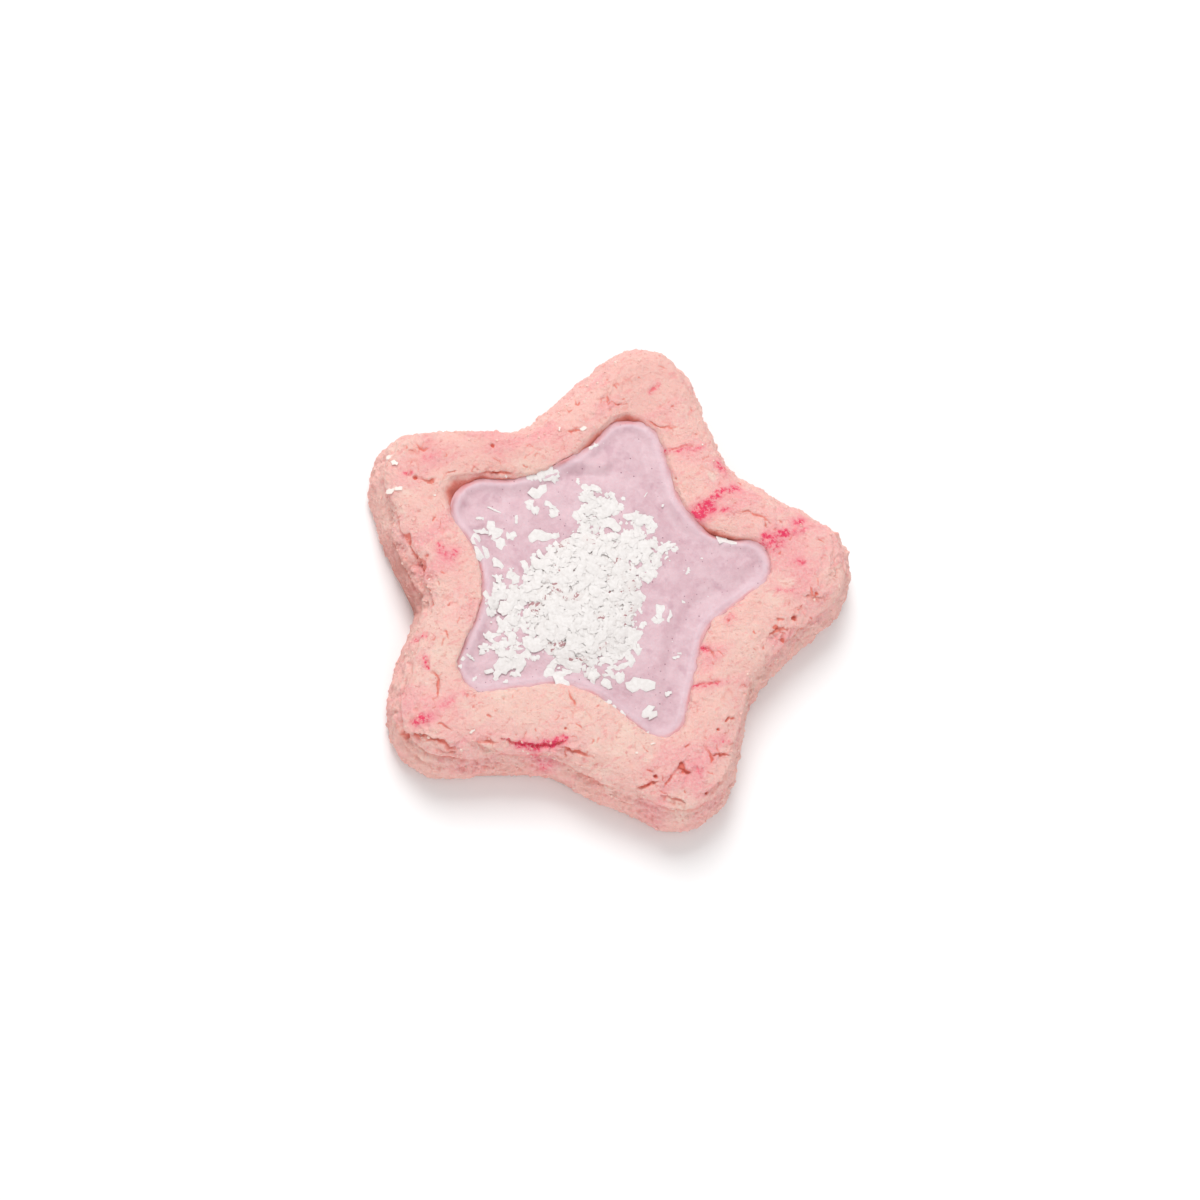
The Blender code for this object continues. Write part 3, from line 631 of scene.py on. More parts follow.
pore_spots = (skin / 1.5 + np.array((3, 8, 5))).tolist()
pores = np.zeros(len(skin))
for index, spot in enumerate(pore_spots):
    distances, centres = noise.voronoi(spot)
    size = 0.24 * abs(noise.cell(centres[0] * 7.3)) ** 2
    pores[index] = max(0, 1.0 - distances[0] / max(size, 0.02))
rise -= 0.2 * ease(pores, 0, 0.8) * bare
# Painted shade in the pores, on the pocket's wall under the lip and on its slopes.
recess_shade = np.maximum(recess_shade, 0.5 * ease(pores, 0, 0.6))
recess_shade = np.maximum(recess_shade, 0.7 * in_pocket * ease(10.7 - skin[:, 2], 0, 0.5))
recess_shade = np.maximum(recess_shade, slope_shade)

for half, strength, path in DOUGH_STREAKS:
    near, distance, *_ = along_path(flat, wandering(path, 4, STREAK_STRAY), 4)
    ragged = distance + 0.25 * crumbs[near] + 0.15 * grains[near]
    above = skin[near, 2] > 2.0
    amount = np.clip(1.0 - ragged / (half + 0.45), 0, 1) * strength
    crimson[near] = np.maximum(crimson[near], amount * above)
    glow = strength * hump(distance + 0.3 * lumps[near], 0, half * 1.4 + 0.5)
    halo[near] = np.maximum(halo[near], glow * above)


def soft_patches(patches):
    """How much of a tint the dough takes at each point from a list of soft patches."""
    total = np.zeros(len(skin))
    for x, y, radius, strength in patches:
        total += strength * near_spot(skin, x, y, radius, 0.25 * lumps)
    return total


store(dough, "pinker", soft_patches(DOUGH_PINKS))
store(dough, "paler", soft_patches(DOUGH_CREAMS))
store(dough, "halo", halo)
# The wall in the notch below the left arm takes painted shade in brown.
notch = ease(14.0 - np.abs(angle - NOTCH_ANGLE), -2, 8)
notch = notch * ease(8.6 - skin[:, 2], 0, 2) * (pocket_side > 2)
notch *= 0.75 + 0.35 * lumps + 0.25 * crumbs
# Painted shade, brown, in the notch and on the pocket's slopes, with the browner patches of dough.
store(dough, "shade_and_tan", np.maximum(np.maximum(notch, slope_shade), soft_patches(DOUGH_TANS)))
store(dough, "crimson", crimson)
store(dough, "recess_shade", recess_shade * (1.0 - 0.75 * np.clip(crimson, 0, 1)))
skin += out * (rise * off_base)[:, None] + shift
skin[:, 2] = np.maximum(skin[:, 2], 0)
move_points(dough, skin)

# The underside and the pocket's floor, which the glaze hides, need few faces.
plain = np.nonzero((skin[:, 2] < 0.03) | ((skin[:, 2] < 8.6) & (pocket_side < 0.3)))[0]
dough.vertex_groups.new(name="plain").add(plain.tolist(), 1, "REPLACE")
shown_faces = 2 * (len(skin) - len(plain))
lighten(dough, shown_faces * PLAIN_SPARE, "plain")
lighten(dough, DOUGH_FACES)
smooth(dough)
dough_surface = bvhtree.BVHTree.FromObject(dough, bpy.context.evaluated_depsgraph_get())


def node(beside, kind, feeds, output=0, **settings):
    """Add a node to the tree of another node or socket, feed its inputs with sockets,
    numbers or colours, and return one of its outputs, or all of them."""
    tree = beside.id_data
    made = tree.nodes.new("ShaderNode" + kind)
    for name, value in settings.items():
        setattr(made, name, value)
    for name, value in feeds.items():
        socket = made.inputs[name]
        if isinstance(value, bpy.types.NodeSocket):
            tree.links.new(value, socket)
        else:
            socket.default_value = (*value, 1) if socket.type == "RGBA" else value
    return made.outputs if output is None else made.outputs[output]


def combine(first, second, operation="MULTIPLY"):
    return node(first, "Math", {0: first, 1: second}, operation=operation)


def remap(value, low, high, to_low=0, to_high=1):
    """Turn a value between low and high smoothly into one between the other two."""
    feeds = {0: value, 1: low, 2: high, 3: to_low, 4: to_high}
    return node(value, "MapRange", feeds, interpolation_type="SMOOTHSTEP")


def cloud(place, size, detail, roughness=0.55):
    """Noise on the piece's own coordinates, in lumps of about a size in mm."""
    feeds = {"Vector": place, "Scale": 1.0 / (size * MM), "Detail": detail}
    return node(place, "TexNoise", {**feeds, "Roughness": roughness}, "Fac")


def specks(place, spacing, radius, share):
    """Round specks, one in each cell of a given spacing in mm, in a share of the cells."""
    cells = node(place, "TexVoronoi", {"Vector": place, "Scale": 1.0 / (spacing * MM)}, None)
    parts = node(place, "SeparateColor", {0: cells["Color"]}, None)
    dot = remap(cells["Distance"], radius / spacing, 0.4 * radius / spacing)
    chosen = remap(parts[0], share + 0.02, share)
    sized = remap(parts[1], 0, 1, 0.3, 1)
    return combine(combine(dot, chosen), sized)


def slanted(place, degrees, stretch):
    """The piece's coordinates, turned and squeezed so that a noise on them runs in streaks."""
    feeds = {"Vector": place, "Angle": math.radians(-degrees)}
    turned = node(place, "VectorRotate", feeds, rotation_type="Z_AXIS")
    return node(place, "VectorMath", {0: turned, 1: (1.0 / stretch, 1, 1)}, operation="MULTIPLY")


def kept(place, name):
    """A number that was stored on the piece's points."""
    return node(place, "Attribute", {}, "Fac", attribute_name=name)


def new_material(name, roughness, specular):
    material = bpy.data.materials.new(name)
    material.use_nodes = True
    shader = material.node_tree.nodes["Principled BSDF"]
    shader.inputs["Roughness"].default_value = roughness
    shader.inputs["Specular IOR Level"].default_value = specular
    return material, shader, node(shader, "TexCoord", {}, "Object")


def plug(socket, shader, name):
    shader.id_data.links.new(socket, shader.inputs[name])


def paint(shader, color, *coats):
    """Lay coats, each a share and a colour, over a first colour."""
    for share, coat in coats:
        color = node(shader, "Mix", {0: share, 6: color, 7: coat}, 2, data_type="RGBA")
    plug(color, shader, "Base Color")


def soften_light(shader, weight, radii, scale):
    """Let light into the skin: how much, how far red, green and blue go, and in what mm."""
    shader.inputs["Subsurface Weight"].default_value = weight
    shader.inputs["Subsurface Radius"].default_value = radii
    shader.inputs["Subsurface Scale"].default_value = scale * MM


def add_bump(shader, height, strength, distance):
    feeds = {"Height": height, "Strength": strength, "Distance": distance * MM}
    plug(node(shader, "Bump", feeds, "Normal"), shader, "Normal")


def dress(piece, material):
    piece.data.materials.clear()
    piece.data.materials.append(material)


PEACH = (0.92, 0.54, 0.48)
PINK = (0.92, 0.395, 0.41)
CREAM = (0.92, 0.65, 0.56)
ROSE = (0.92, 0.26, 0.33)
CRIMSON = (0.86, 0.065, 0.15)
# Painted shade, reddish brown, for cracks, pits, pores, ledges and the pocket's wall; the red
# stands for light that passes through the dough.
RECESS_SHADE_RED = (0.82, 0.18, 0.125)
TAN = (0.93, 0.505, 0.45)
# Brown: painted shade in the notch, on the pocket's slopes and at the wall's foot, and the browner
# tone of some patches of dough.
BROWN = (0.68, 0.31, 0.27)
FLOURY = (0.93, 0.68, 0.62)
BLOTTED = (0.89, 0.34, 0.34)
SPECKLED = (0.70, 0.30, 0.26)
FLECKED = (0.76, 0.25, 0.22)
# Deepest painted shade, for the pocket's slopes and the cracks in the notch.
DEEPEST_SHADE = (0.42, 0.12, 0.1)

baked, shader, place = new_material("baked_pink_dough", 0.85, 0.2)
streaked = slanted(place, 45, 2.6)
pinkness = combine(remap(cloud(streaked, 4, 4), 0.42, 0.66, 0, 0.6),
                   combine(kept(place, "pinker"), 0.9), "ADD")
paleness = combine(remap(cloud(place, 4, 3), 0.52, 0.7, 0, 0.5),
                   combine(kept(place, "paler"), 0.75), "ADD")
fleck_noise = cloud(slanted(place, 10, 1.8), 0.42, 1)
flecks = combine(remap(fleck_noise, 0.58, 0.7),
              remap(cloud(place, 2.4, 2), 0.42, 0.62))
height = node(place, "SeparateXYZ", {0: place}, 2)
grit = remap(cloud(place, 0.6, 5, 0.7), 0.36, 0.64, 0.2, 1.5)
stain = combine(kept(place, "crimson"), grit)
depths = kept(place, "recess_shade")
deep_shade_share = combine(kept(place, "shade_and_tan"), depths)
paint(
    shader, PEACH,
    (remap(pinkness, 0, 1), PINK),
    (remap(paleness, 0, 1), CREAM),
    (remap(cloud(place, 0.35, 3, 0.7), 0.35, 0.7, 0, 0.5), FLOURY),
    (remap(cloud(streaked, 0.8, 3), 0.56, 0.7, 0, 0.5), BLOTTED),
    (specks(place, 1.5, 0.15, 0.4), SPECKLED),
    (combine(flecks, 0.45), FLECKED),
    # The wall turns tan from the shoulder down, and its lowest few mm take brown, painted contact
    # shade where it meets the table.
    (remap(height, 0.0098, 0.001, 0, 0.6), TAN),
    (remap(height, 0.0035, 0, 0, 0.45), BROWN),
    # Painted shade in the notch and on the pocket's slopes, and the browner patches of dough.
    (kept(place, "shade_and_tan"), BROWN),
    (remap(kept(place, "halo"), 0, 1.2, 0, 0.65), ROSE),
    (remap(stain, 0.05, 0.95), CRIMSON),
    # Painted shade in cracks, pits, pores, ledges and the pocket's wall.
    (remap(depths, 0.05, 0.95, 0, 0.85), RECESS_SHADE_RED),
    # Deepest painted shade, where both painted shades meet: on the slopes and in the notch.
    (remap(deep_shade_share, 0.1, 0.9, 0, 0.7), DEEPEST_SHADE),
)
soften_light(shader, 0.25, (1, 0.5, 0.4), 1.2)
fine = combine(cloud(place, 0.28, 4, 0.7), cloud(place, 0.7, 2), "ADD")
fine = combine(fine, combine(flecks, 0.2), "SUBTRACT")
add_bump(shader, fine, 0.8, 0.36)
dress(dough, baked)
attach(dough, "root")
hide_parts("biscuit")


# --- The loose crumbs ------------------------------------------------------------------
# Small crumbs of the same dough that broke off the cut edge and baked onto the wall and
# the shoulder.

CRUMB_COUNT = 1100
CRUMB_SEED = 5
CRUMB_TOP = 10.9


def new_object(name, data):
    made = bpy.data.objects.new(name, data)
    bpy.context.scene.collection.objects.link(made)
    return made


def joined_mesh(name, points, faces):
    data = bpy.data.meshes.new(name)
    data.from_pydata(points, [], faces)
    data.update()
    return new_object(name, data)


draw = random.Random(CRUMB_SEED)
bpy.ops.mesh.primitive_ico_sphere_add(subdivisions=1, radius=1)
crumb_seed = bpy.context.object
crumb_corners = [point.co.copy() for point in crumb_seed.data.vertices]
crumb_sides = [tuple(face.vertices) for face in crumb_seed.data.polygons]
bpy.data.objects.remove(crumb_seed)
crumb_points = []
crumb_faces = []
while len(crumb_points) < CRUMB_COUNT * len(crumb_corners):
    turn = math.radians(draw.uniform(0, 360))
    height = draw.uniform(1, CRUMB_TOP)
    aim = Vector((math.cos(turn), math.sin(turn), 0))
    start = aim * 0.06 + Vector((0, 0, height * MM))
    spot, normal, _, _ = dough_surface.ray_cast(start, -aim)
    if spot is None or draw.random() > 0.25 + 0.75 * (height / CRUMB_TOP) ** 2:
        continue
    radius = 0.07 + 0.24 * draw.random() ** 2
    first = len(crumb_points)
    for corner in crumb_corners:
        jag = 1.0 + draw.uniform(-0.35, 0.35)
        squash = corner - normal * corner.dot(normal) * 0.45
        crumb_points.append(spot + squash * radius * jag * MM)
    crumb_faces.extend(tuple(first + corner for corner in side) for side in crumb_sides)
loose_crumbs = joined_mesh("dough_crumbs", crumb_points, crumb_faces)
smooth(loose_crumbs)

crumbly, shader, place = new_material("broken_dough", 0.9, 0.2)
tone = remap(cloud(place, 1.2, 2), 0.35, 0.65)
paint(shader, (0.86, 0.46, 0.41), (tone, (0.90, 0.66, 0.58)))
add_bump(shader, cloud(place, 0.2, 3), 0.5, 0.1)
dress(loose_crumbs, crumbly)
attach(loose_crumbs, "root")


# --- The glaze -------------------------------------------------------------------------
# A pool of set mauve icing that fills the star-shaped pocket. It was spread with a small
# knife, so it has a raised bead along its edge and soft ridges inside it.

GLAZE_OFFSET = 0.3
GLAZE_VOXEL = 0.24
GLAZE_SOFTEN = 4
EDGE_STEPS = 60
GLAZE_FACE = 10.0
GLAZE_BASE = 8.1
# Where the glaze stops short of the pocket's wall: x, y, radius and how far (mm).
GLAZE_GAPS = (
    (-24, 10.4, 3.4, 0.55), (-18.6, 12.2, 2.4, 0.4), (-1.6, 26.9, 2.4, 0.55),
    (-6, 22, 3, 0.5), (16, 12, 2.6, 0.85), (19.4, 11.9, 1.8, 0.4),
    (-19.8, -8, 3, 0.3),
)
# Ridges and furrows left by the knife: half width and height in mm, then their points.
GLAZE_RIDGES = (
    (0.9, 0.55, ((-11, 16.8), (-7.4, 17.8), (-3.6, 18.8))),
    (0.8, 0.4, ((-4, 18.6), (-3.5, 17.8))),
    (0.7, -0.35, ((-9.6, 15.4), (-5.6, 16.2), (-2.8, 17), (-2, 19.4))),
    (0.8, 0.22, ((1.4, 25), (4.4, 19), (8.4, 13.8), (13, 10))),
    (1, -0.28, ((0.6, 24.6), (3.2, 18.4), (7, 13), (11.6, 9.2))),
    (0.9, 0.25, ((19.6, 3), (15.6, -1.6), (13.8, -7), (13.8, -13), (14.4, -18.6))),
    (0.8, -0.25, ((17.4, 3), (13.6, -1.4), (12.2, -7), (12.2, -13.6), (12.6, -18))),
    (0.7, 0.16, ((10.4, 1), (10.4, -5), (10.8, -11))),
    (0.9, -0.22, ((-25.4, 5.6), (-20, 7.6), (-14, 10.6))),
    (0.8, 0.16, ((17.6, 8.8), (21.6, 10), (24.4, 8.6))),
    (0.9, -0.24, ((23.4, 9), (23.6, 6.4), (21.4, 3.6))),
)
# Round dimples: x, y, radius and depth in mm.
GLAZE_DIMPLES = (
    (-24, 4.9, 0.9, 0.2), (19.6, 2.4, 0.8, 0.18), (-18.6, 10.2, 0.9, 0.1),
    (21, 7.4, 2.2, -0.12), (11.6, -20.6, 1.6, 0.14),
)
# The bead along the edge and the furrow inside it: height, distance in and half width (mm).
GLAZE_EDGE = ((0.34, 1.2, 0.6), (-0.3, 2.8, 1.1))

fine_edge = rounded_star(POCKET_CORNERS, GLAZE_OFFSET, EDGE_STEPS)
edge_tree = kdtree.KDTree(len(fine_edge))
for index, spot in enumerate(fine_edge):
    edge_tree.insert((spot.x, spot.y, 0), index)
edge_tree.balance()
pocket_turns = polar_reach(fine_edge)


def distance_in(spots):
    """How far in from the glaze's edge each spot lies in mm, or below 0 outside it."""
    found = np.array([edge_tree.find((x, y, 0))[2] for x, y in spots.tolist()])
    turns = np.degrees(np.arctan2(spots[:, 1], spots[:, 0])) % 360.0
    far = np.hypot(spots[:, 0], spots[:, 1])
    return np.where(far < np.interp(turns, *pocket_turns), found, -found)


def glaze_rise(spots, inward):
    """Height of the glaze above its face, from the distance in from its edge."""
    ground = np.column_stack((spots, np.zeros(len(spots))))
    strength = 0.85 + 0.3 * swell(ground, 6, 16)
    loose = np.zeros(len(spots))
    for x, y, radius, far in GLAZE_GAPS:
        loose += far * near_spot(spots, x, y, radius)
    height = sum(tall * hump(inward, far, half) * strength for tall, far, half in GLAZE_EDGE)
    edge_lift = 0.8 - 1.8 * np.clip(loose, 0, 1)
    height += edge_lift * np.clip(1.0 - inward, 0, 1) ** 2
    height += 0.11 * swell(ground, 4, 12) + 0.05 * swell(ground, 1.4, 14)
    for half, tall, path in GLAZE_RIDGES:
        near, distance, _, share, _ = along_path(spots, wandering(path, 6, 0.1), half * 3)
        fullness = np.sin(np.pi * (share * 0.8 + 0.1)) ** 0.5
        height[near] += tall * fullness * hump(distance, 0, half)
    for x, y, radius, deep in GLAZE_DIMPLES:
        height -= deep * near_spot(spots, x, y, radius)
    return height


glaze = star_block("mauve_glaze", [ring_at(POCKET_CORNERS, GLAZE_OFFSET, GLAZE_BASE),
                                   ring_at(POCKET_CORNERS, GLAZE_OFFSET, GLAZE_FACE)])
even_skin(glaze, GLAZE_VOXEL, 2)
pool = points_of(glaze)
inward = np.maximum(distance_in(pool[:, :2]), 0)
top = pool[:, 2] > GLAZE_FACE - 0.6
lift = glaze_rise(pool[:, :2], inward)
pool[:, 2] += np.where(top, lift, 0)
# Painted shade, reddish brown, along the glaze's edge against the dough and in the gaps where it
# stops short.
brink = ease(0.75 - inward, 0, 0.4) * (0.6 + 0.6 * swell(pool, 3, 18))
for x, y, radius, far in GLAZE_GAPS:
    gap = near_spot(pool, x, y, radius)
    brink = np.maximum(brink, 1.4 * far * gap * ease(1.2 - inward, 0, 0.6))
    pull = 0.4 * far * gap * np.exp(-inward / 1.8)
    size = np.hypot(pool[:, 0], pool[:, 1])
    pool[:, :2] -= pool[:, :2] / size[:, None] * pull[:, None]
move_points(glaze, pool)
# A painted highlight along the crest of the bead.
store(glaze, "lip", hump(inward, 1.15, 0.55))
# Painted shade along the edge and in the gaps.
store(glaze, "brink", brink)
soften(glaze, GLAZE_SOFTEN)
apply_modifiers(glaze)
smooth(glaze)

icing, shader, place = new_material("mauve_icing", 0.45, 0.35)
tint = remap(cloud(place, 5, 3), 0.35, 0.65)
streaks = remap(cloud(place, 1.2, 4, 0.65), 0.35, 0.7, 0, 0.5)
smudges = remap(cloud(place, 2, 2), 0.56, 0.72, 0, 0.6)
paint(
    shader, (0.615, 0.395, 0.445),
    (tint, (0.69, 0.48, 0.525)),
    (streaks, (0.74, 0.54, 0.585)),
    (smudges, (0.56, 0.335, 0.395)),
    # A painted highlight along the crest of the bead.
    (combine(kept(place, "lip"), 0.5), (0.75, 0.565, 0.62)),
    # Painted shade along the edge and in the gaps.
    (combine(kept(place, "brink"), 0.85), (0.66, 0.25, 0.25)),
    (specks(place, 0.9, 0.15, 0.5), (0.26, 0.11, 0.15)),
    (specks(place, 2.3, 0.16, 0.3), (0.80, 0.70, 0.72)),
)
soften_light(shader, 0.2, (1, 0.6, 0.6), 0.8)
satin = remap(cloud(place, 0.8, 3), 0.3, 0.7, 0.38, 0.55)
plug(satin, shader, "Roughness")
pimples = combine(cloud(place, 0.6, 4, 0.65), cloud(place, 1.6, 2), "ADD")
add_bump(shader, pimples, 0.6, 0.22)
dress(glaze, icing)
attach(glaze, "root")
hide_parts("glaze")


# --- The coconut -----------------------------------------------------------------------
# A heap of desiccated coconut dropped on the wet glaze: thin, dry, ragged shreds that lie
# on each other, with stray ones round the heap and on the dough.

# The edge of the heap in mm, anticlockwise, and how thickly the shreds lie in it (0 to 1).
HEAP_OUTLINE = (
    (5.5, -13.4), (7.3, -9.1), (7.5, -5.8), (6.4, -4.4), (7.2, -1.5), (6.5, 1.1), (10.2, 7.8),
    (5, 10.2), (4.3, 12.3), (1.4, 10.9), (-2, 14.4), (-5.8, 14.3), (-7.2, 12.9),
    (-5.3, 9.3), (-8.5, 4), (-17.6, -3.7), (-16.3, -6.1), (-18.7, -8.3), (-14.9, -11.8),
    (-17.3, -15), (-11.5, -17.9), (-8, -14.6), (-4.2, -17.6), (-3.1, -15.4), (3.3, -15.5),
)
HEAP_THICKNESS = 0.55
# Where they lie more thickly: x, y, half widths in mm and how thickly.
HEAP_FIELDS = (
    (-3.4, -4.2, 9.2, 11.4, 1), (2.6, 4, 4.8, 5.2, 0.9), (2, -9, 5, 5.5, 0.85),
)
# The heap's middle: x, y, half widths and height in mm, then how far its widest ring and
# its foot lie under the glaze's face.
HEAP_CORE = (-2.8, -3.6, 8.4, 10.4, 1)
CORE_SINK = 0.1
CORE_FOOT = 0.7
HEAP_SHREDS = 1400
# Sizes of shred: share of the shreds up to this size, least and most length in mm, and
# least and most width as a share of the length.
SHRED_SIZES = ((0.3, 1.8, 3.6, 0.3, 0.6), (0.6, 1, 2, 0.4, 0.8), (1, 0.4, 1, 0.4, 0.9))
# The last shreds are broad ones, which stay this far inside the heap's edge (mm).
BROAD_SHREDS = 60
BROAD_SIZE = (2.2, 3.8, 0.4, 0.65)
BROAD_INSET = 1.2
LONE_STRETCH = 1.2
LONE_GROWTH = 1.4
STRAY_THICKNESS = 0.14
SHRED_SEED = 7
# Shreds that lie apart from the heap: x, y, length and width in mm, turn in degrees.
LONE_SHREDS = (
    (-11.2, 4.3, 3.8, 1.5, 22), (-9, 5.4, 2, 0.9, 30),
    (7.4, 4.8, 1.6, 1.2, 0), (7.2, 2.8, 1.6, 1, 40), (-13.4, -18.6, 1.8, 0.8, 70),
    (-13, 11.8, 3.1, 1.4, 35), (-13.9, 9.3, 1.7, 1.2, 80), (-12.9, 8.8, 1.4, 1, 20),
    (-10.7, 10, 1.9, 0.9, -20), (-9.8, 8.8, 1.7, 1.2, 60),
    (-12.3, 14.8, 2.6, 1.5, 50), (-10.8, 14.7, 2, 1, 95), (-14.3, 13.5, 2, 1, 20),
    (-13.1, 14, 1.3, 0.9, 60), (-18.3, 4.2, 2.9, 2, -15), (-20.5, 3.1, 2.3, 0.8, 10),
    (-17.2, 2, 3.4, 1.4, -30), (-15.6, 3.6, 1.5, 1.1, 30), (-20.9, 1.5, 1.6, 1.3, 40),
    (-19.8, -0.2, 2.6, 2, 60), (-20.6, -1, 1.9, 1.2, 0), (-16.7, -1.1, 2.3, 1.1, -30),
    (-20.9, 5.2, 1.3, 0.5, 5), (-15.4, 6.3, 1.5, 0.5, 95), (-19, 7.1, 2.2, 0.25, -12),
    (-7.2, 14.8, 1.3, 0.5, 110), (9.9, -2.9, 2.5, 2.6, 60), (9.2, -4.2, 2.2, 0.9, 5),
    (8.4, -15.3, 4.5, 1.6, 15), (10.8, -19, 1.9, 1.7, -40), (13.2, -9.4, 1.2, 0.4, 30),
    (13.6, -8.7, 0.9, 0.35, 10), (12.4, 4.6, 1.2, 0.45, 80), (12.7, -0.4, 0.7, 0.5, 0),
    (17.5, 10.8, 3, 0.95, 2), (13.1, -15.4, 1.2, 0.6, 45), (3.9, -19, 1.5, 0.8, 30),
    (5.2, -19.3, 1, 0.5, -20), (6.8, -20.4, 1.8, 0.6, -55), (1.2, -15.4, 1.8, 1.2, 40),
    (3.4, -16.1, 1.9, 1.1, -40), (5.3, -14.5, 1.6, 1.4, 10), (-3.4, -17.5, 3.4, 1.3, -40),
    (-5.6, -16.4, 1.9, 1.2, 60), (-12.4, -17.5, 3.2, 1, 50), (-10.6, -17.9, 1.7, 0.7, 5),
    (-14.7, -18.3, 1.7, 0.7, 20), (-17.9, -16.8, 1.4, 0.4, -25), (-16.6, -20, 1.1, 0.4, 60),
    (-11.9, -19.4, 0.9, 0.4, 30), (-18.9, -17.4, 0.9, 0.7, 60), (-19.2, -18.6, 0.9, 0.5, 20),
    (-5.9, 20.9, 1.7, 0.6, 38), (0.4, 13.6, 0.9, 0.6, 20), (6.6, 14.2, 0.7, 0.3, 60),
    (3.6, 15.2, 1.1, 0.15, 70), (11, -22.2, 0.9, 0.3, 40), (14.2, 7.2, 0.5, 0.3, 0),
)
# Shreds that fell on the dough, in the same way.
STRAY_SHREDS = (
    (-8.2, 23, 1.4, 0.8, 35), (-11.8, 22.1, 0.9, 0.4, 95), (-18.4, 12.6, 0.5, 0.4, 0),
    (-36.6, 12, 1.3, 0.8, 30), (-35.7, 10.7, 1.5, 1.1, -20), (-35.4, 6.2, 1.5, 1.1, 40),
    (-34.2, 6.7, 1.6, 0.9, 20), (-15.4, -28.3, 1.4, 0.5, 50), (12, -24, 0.9, 0.3, 30),
    (9.8, -26, 0.5, 0.4, 0), (10.8, 25.2, 0.4, 0.4, 0), (-28.6, 6.8, 0.6, 0.3, 10),
    (-26.6, -6.2, 0.5, 0.3, 60),
)
# The heights that the shreds are laid on: the grid's step and reach in mm, and the
# steepest slope that a shred takes from them.
GRID = 0.2
GRID_REACH = 30.0
MAX_SLOPE = 0.35


def coverage(x, y, depth):
    """How thickly the shreds lie at a spot, from 0 to 1."""
    ragged = 0.25 * noise.noise(Vector((x / 3.4 + 4.4, y / 3.4 + 8.8, 2.2)))
    ragged += 0.3 * noise.noise(Vector((x / 1.5 + 1, y / 1.5, 4)))
    most = HEAP_THICKNESS
    for cx, cy, half_x, half_y, thick in HEAP_FIELDS:
        inside = 1.0 - math.hypot((x - cx) / half_x, (y - cy) / half_y) + ragged
        most = max(most, thick * min(1, inside * 4))
    return most * min(1, max(0, (depth + 0.2 + 2.5 * ragged) / 0.9))


side_count = int(2 * GRID_REACH / GRID) + 1
axis = np.linspace(-GRID_REACH, GRID_REACH, side_count)
grid_x, grid_y = np.meshgrid(axis, axis, indexing="ij")
grid_spots = np.column_stack((grid_x.ravel(), grid_y.ravel()))
grid_inward = distance_in(grid_spots)
ground = GLAZE_FACE + glaze_rise(grid_spots, np.maximum(grid_inward, 0))
grid_inward = grid_inward.reshape(grid_x.shape)
ground = ground.reshape(grid_x.shape)
heap_edge = np.array(HEAP_OUTLINE + HEAP_OUTLINE[:1])
heap_depth = along_path(grid_spots, heap_edge, 2.0 * GRID_REACH)[1].reshape(grid_x.shape)
in_heap = np.zeros(grid_x.shape, bool)
for (x0, y0), (x1, y1) in zip(heap_edge, heap_edge[1:]):
    crosses = (y0 > grid_y) != (y1 > grid_y)
    in_heap ^= crosses & (grid_x < x0 + (grid_y - y0) * (x1 - x0) / (y1 - y0))
heap_depth = np.where(in_heap, heap_depth, -heap_depth)

# The middle of the heap, under the shreds that show.
core_x, core_y, core_half_x, core_half_y, core_height = HEAP_CORE
bpy.ops.mesh.primitive_uv_sphere_add(segments=96, ring_count=64, radius=1)
heap_core = bpy.context.object
heap_core.name = "coconut_core"
core = points_of(heap_core) * MM * np.array((core_half_x, core_half_y, core_height))
core += np.array((core_x, core_y, GLAZE_FACE - CORE_SINK))
core[:, 2] += 0.2 * swell(core, 1.6, 81) + 0.12 * swell(core, 0.8, 91)
core[:, 2] = np.maximum(core[:, 2], GLAZE_FACE - CORE_FOOT)
move_points(heap_core, core)
smooth(heap_core)
mound = 1.0 - ((grid_x - core_x) / core_half_x) ** 2 - ((grid_y - core_y) / core_half_y) ** 2
mound = GLAZE_FACE - CORE_SINK + core_height * np.sqrt(np.maximum(mound, 0))
ground = np.maximum(ground, mound)

shred_points = []
shred_faces = []


def ragged_outline(steps):
    """Corners of a torn shred, as shares of its half length and half width: two ragged
    long edges between two blunt or pointed ends."""
    blunt = (draw.uniform(0.1, 0.7), draw.uniform(0.1, 0.7))
    sway = draw.uniform(-0.35, 0.35)
    edges = ([], [])
    for k in range(steps):
        along = -1.0 + 2.0 * (k + 0.5) / steps
        taper = blunt[0] + (1.0 - blunt[0]) * min(1, (1.0 + along) * 1.6)
        taper *= blunt[1] + (1.0 - blunt[1]) * min(1, (1.0 - along) * 1.6)
        drift = sway * (1.0 - along * along)
        for side, edge in zip((-1, 1), edges):
            far = side * taper * draw.uniform(0.35, 1.25) + drift
            edge.append((along + draw.uniform(-0.8, 0.8) / steps, far))
    return edges[0] + edges[1][::-1]


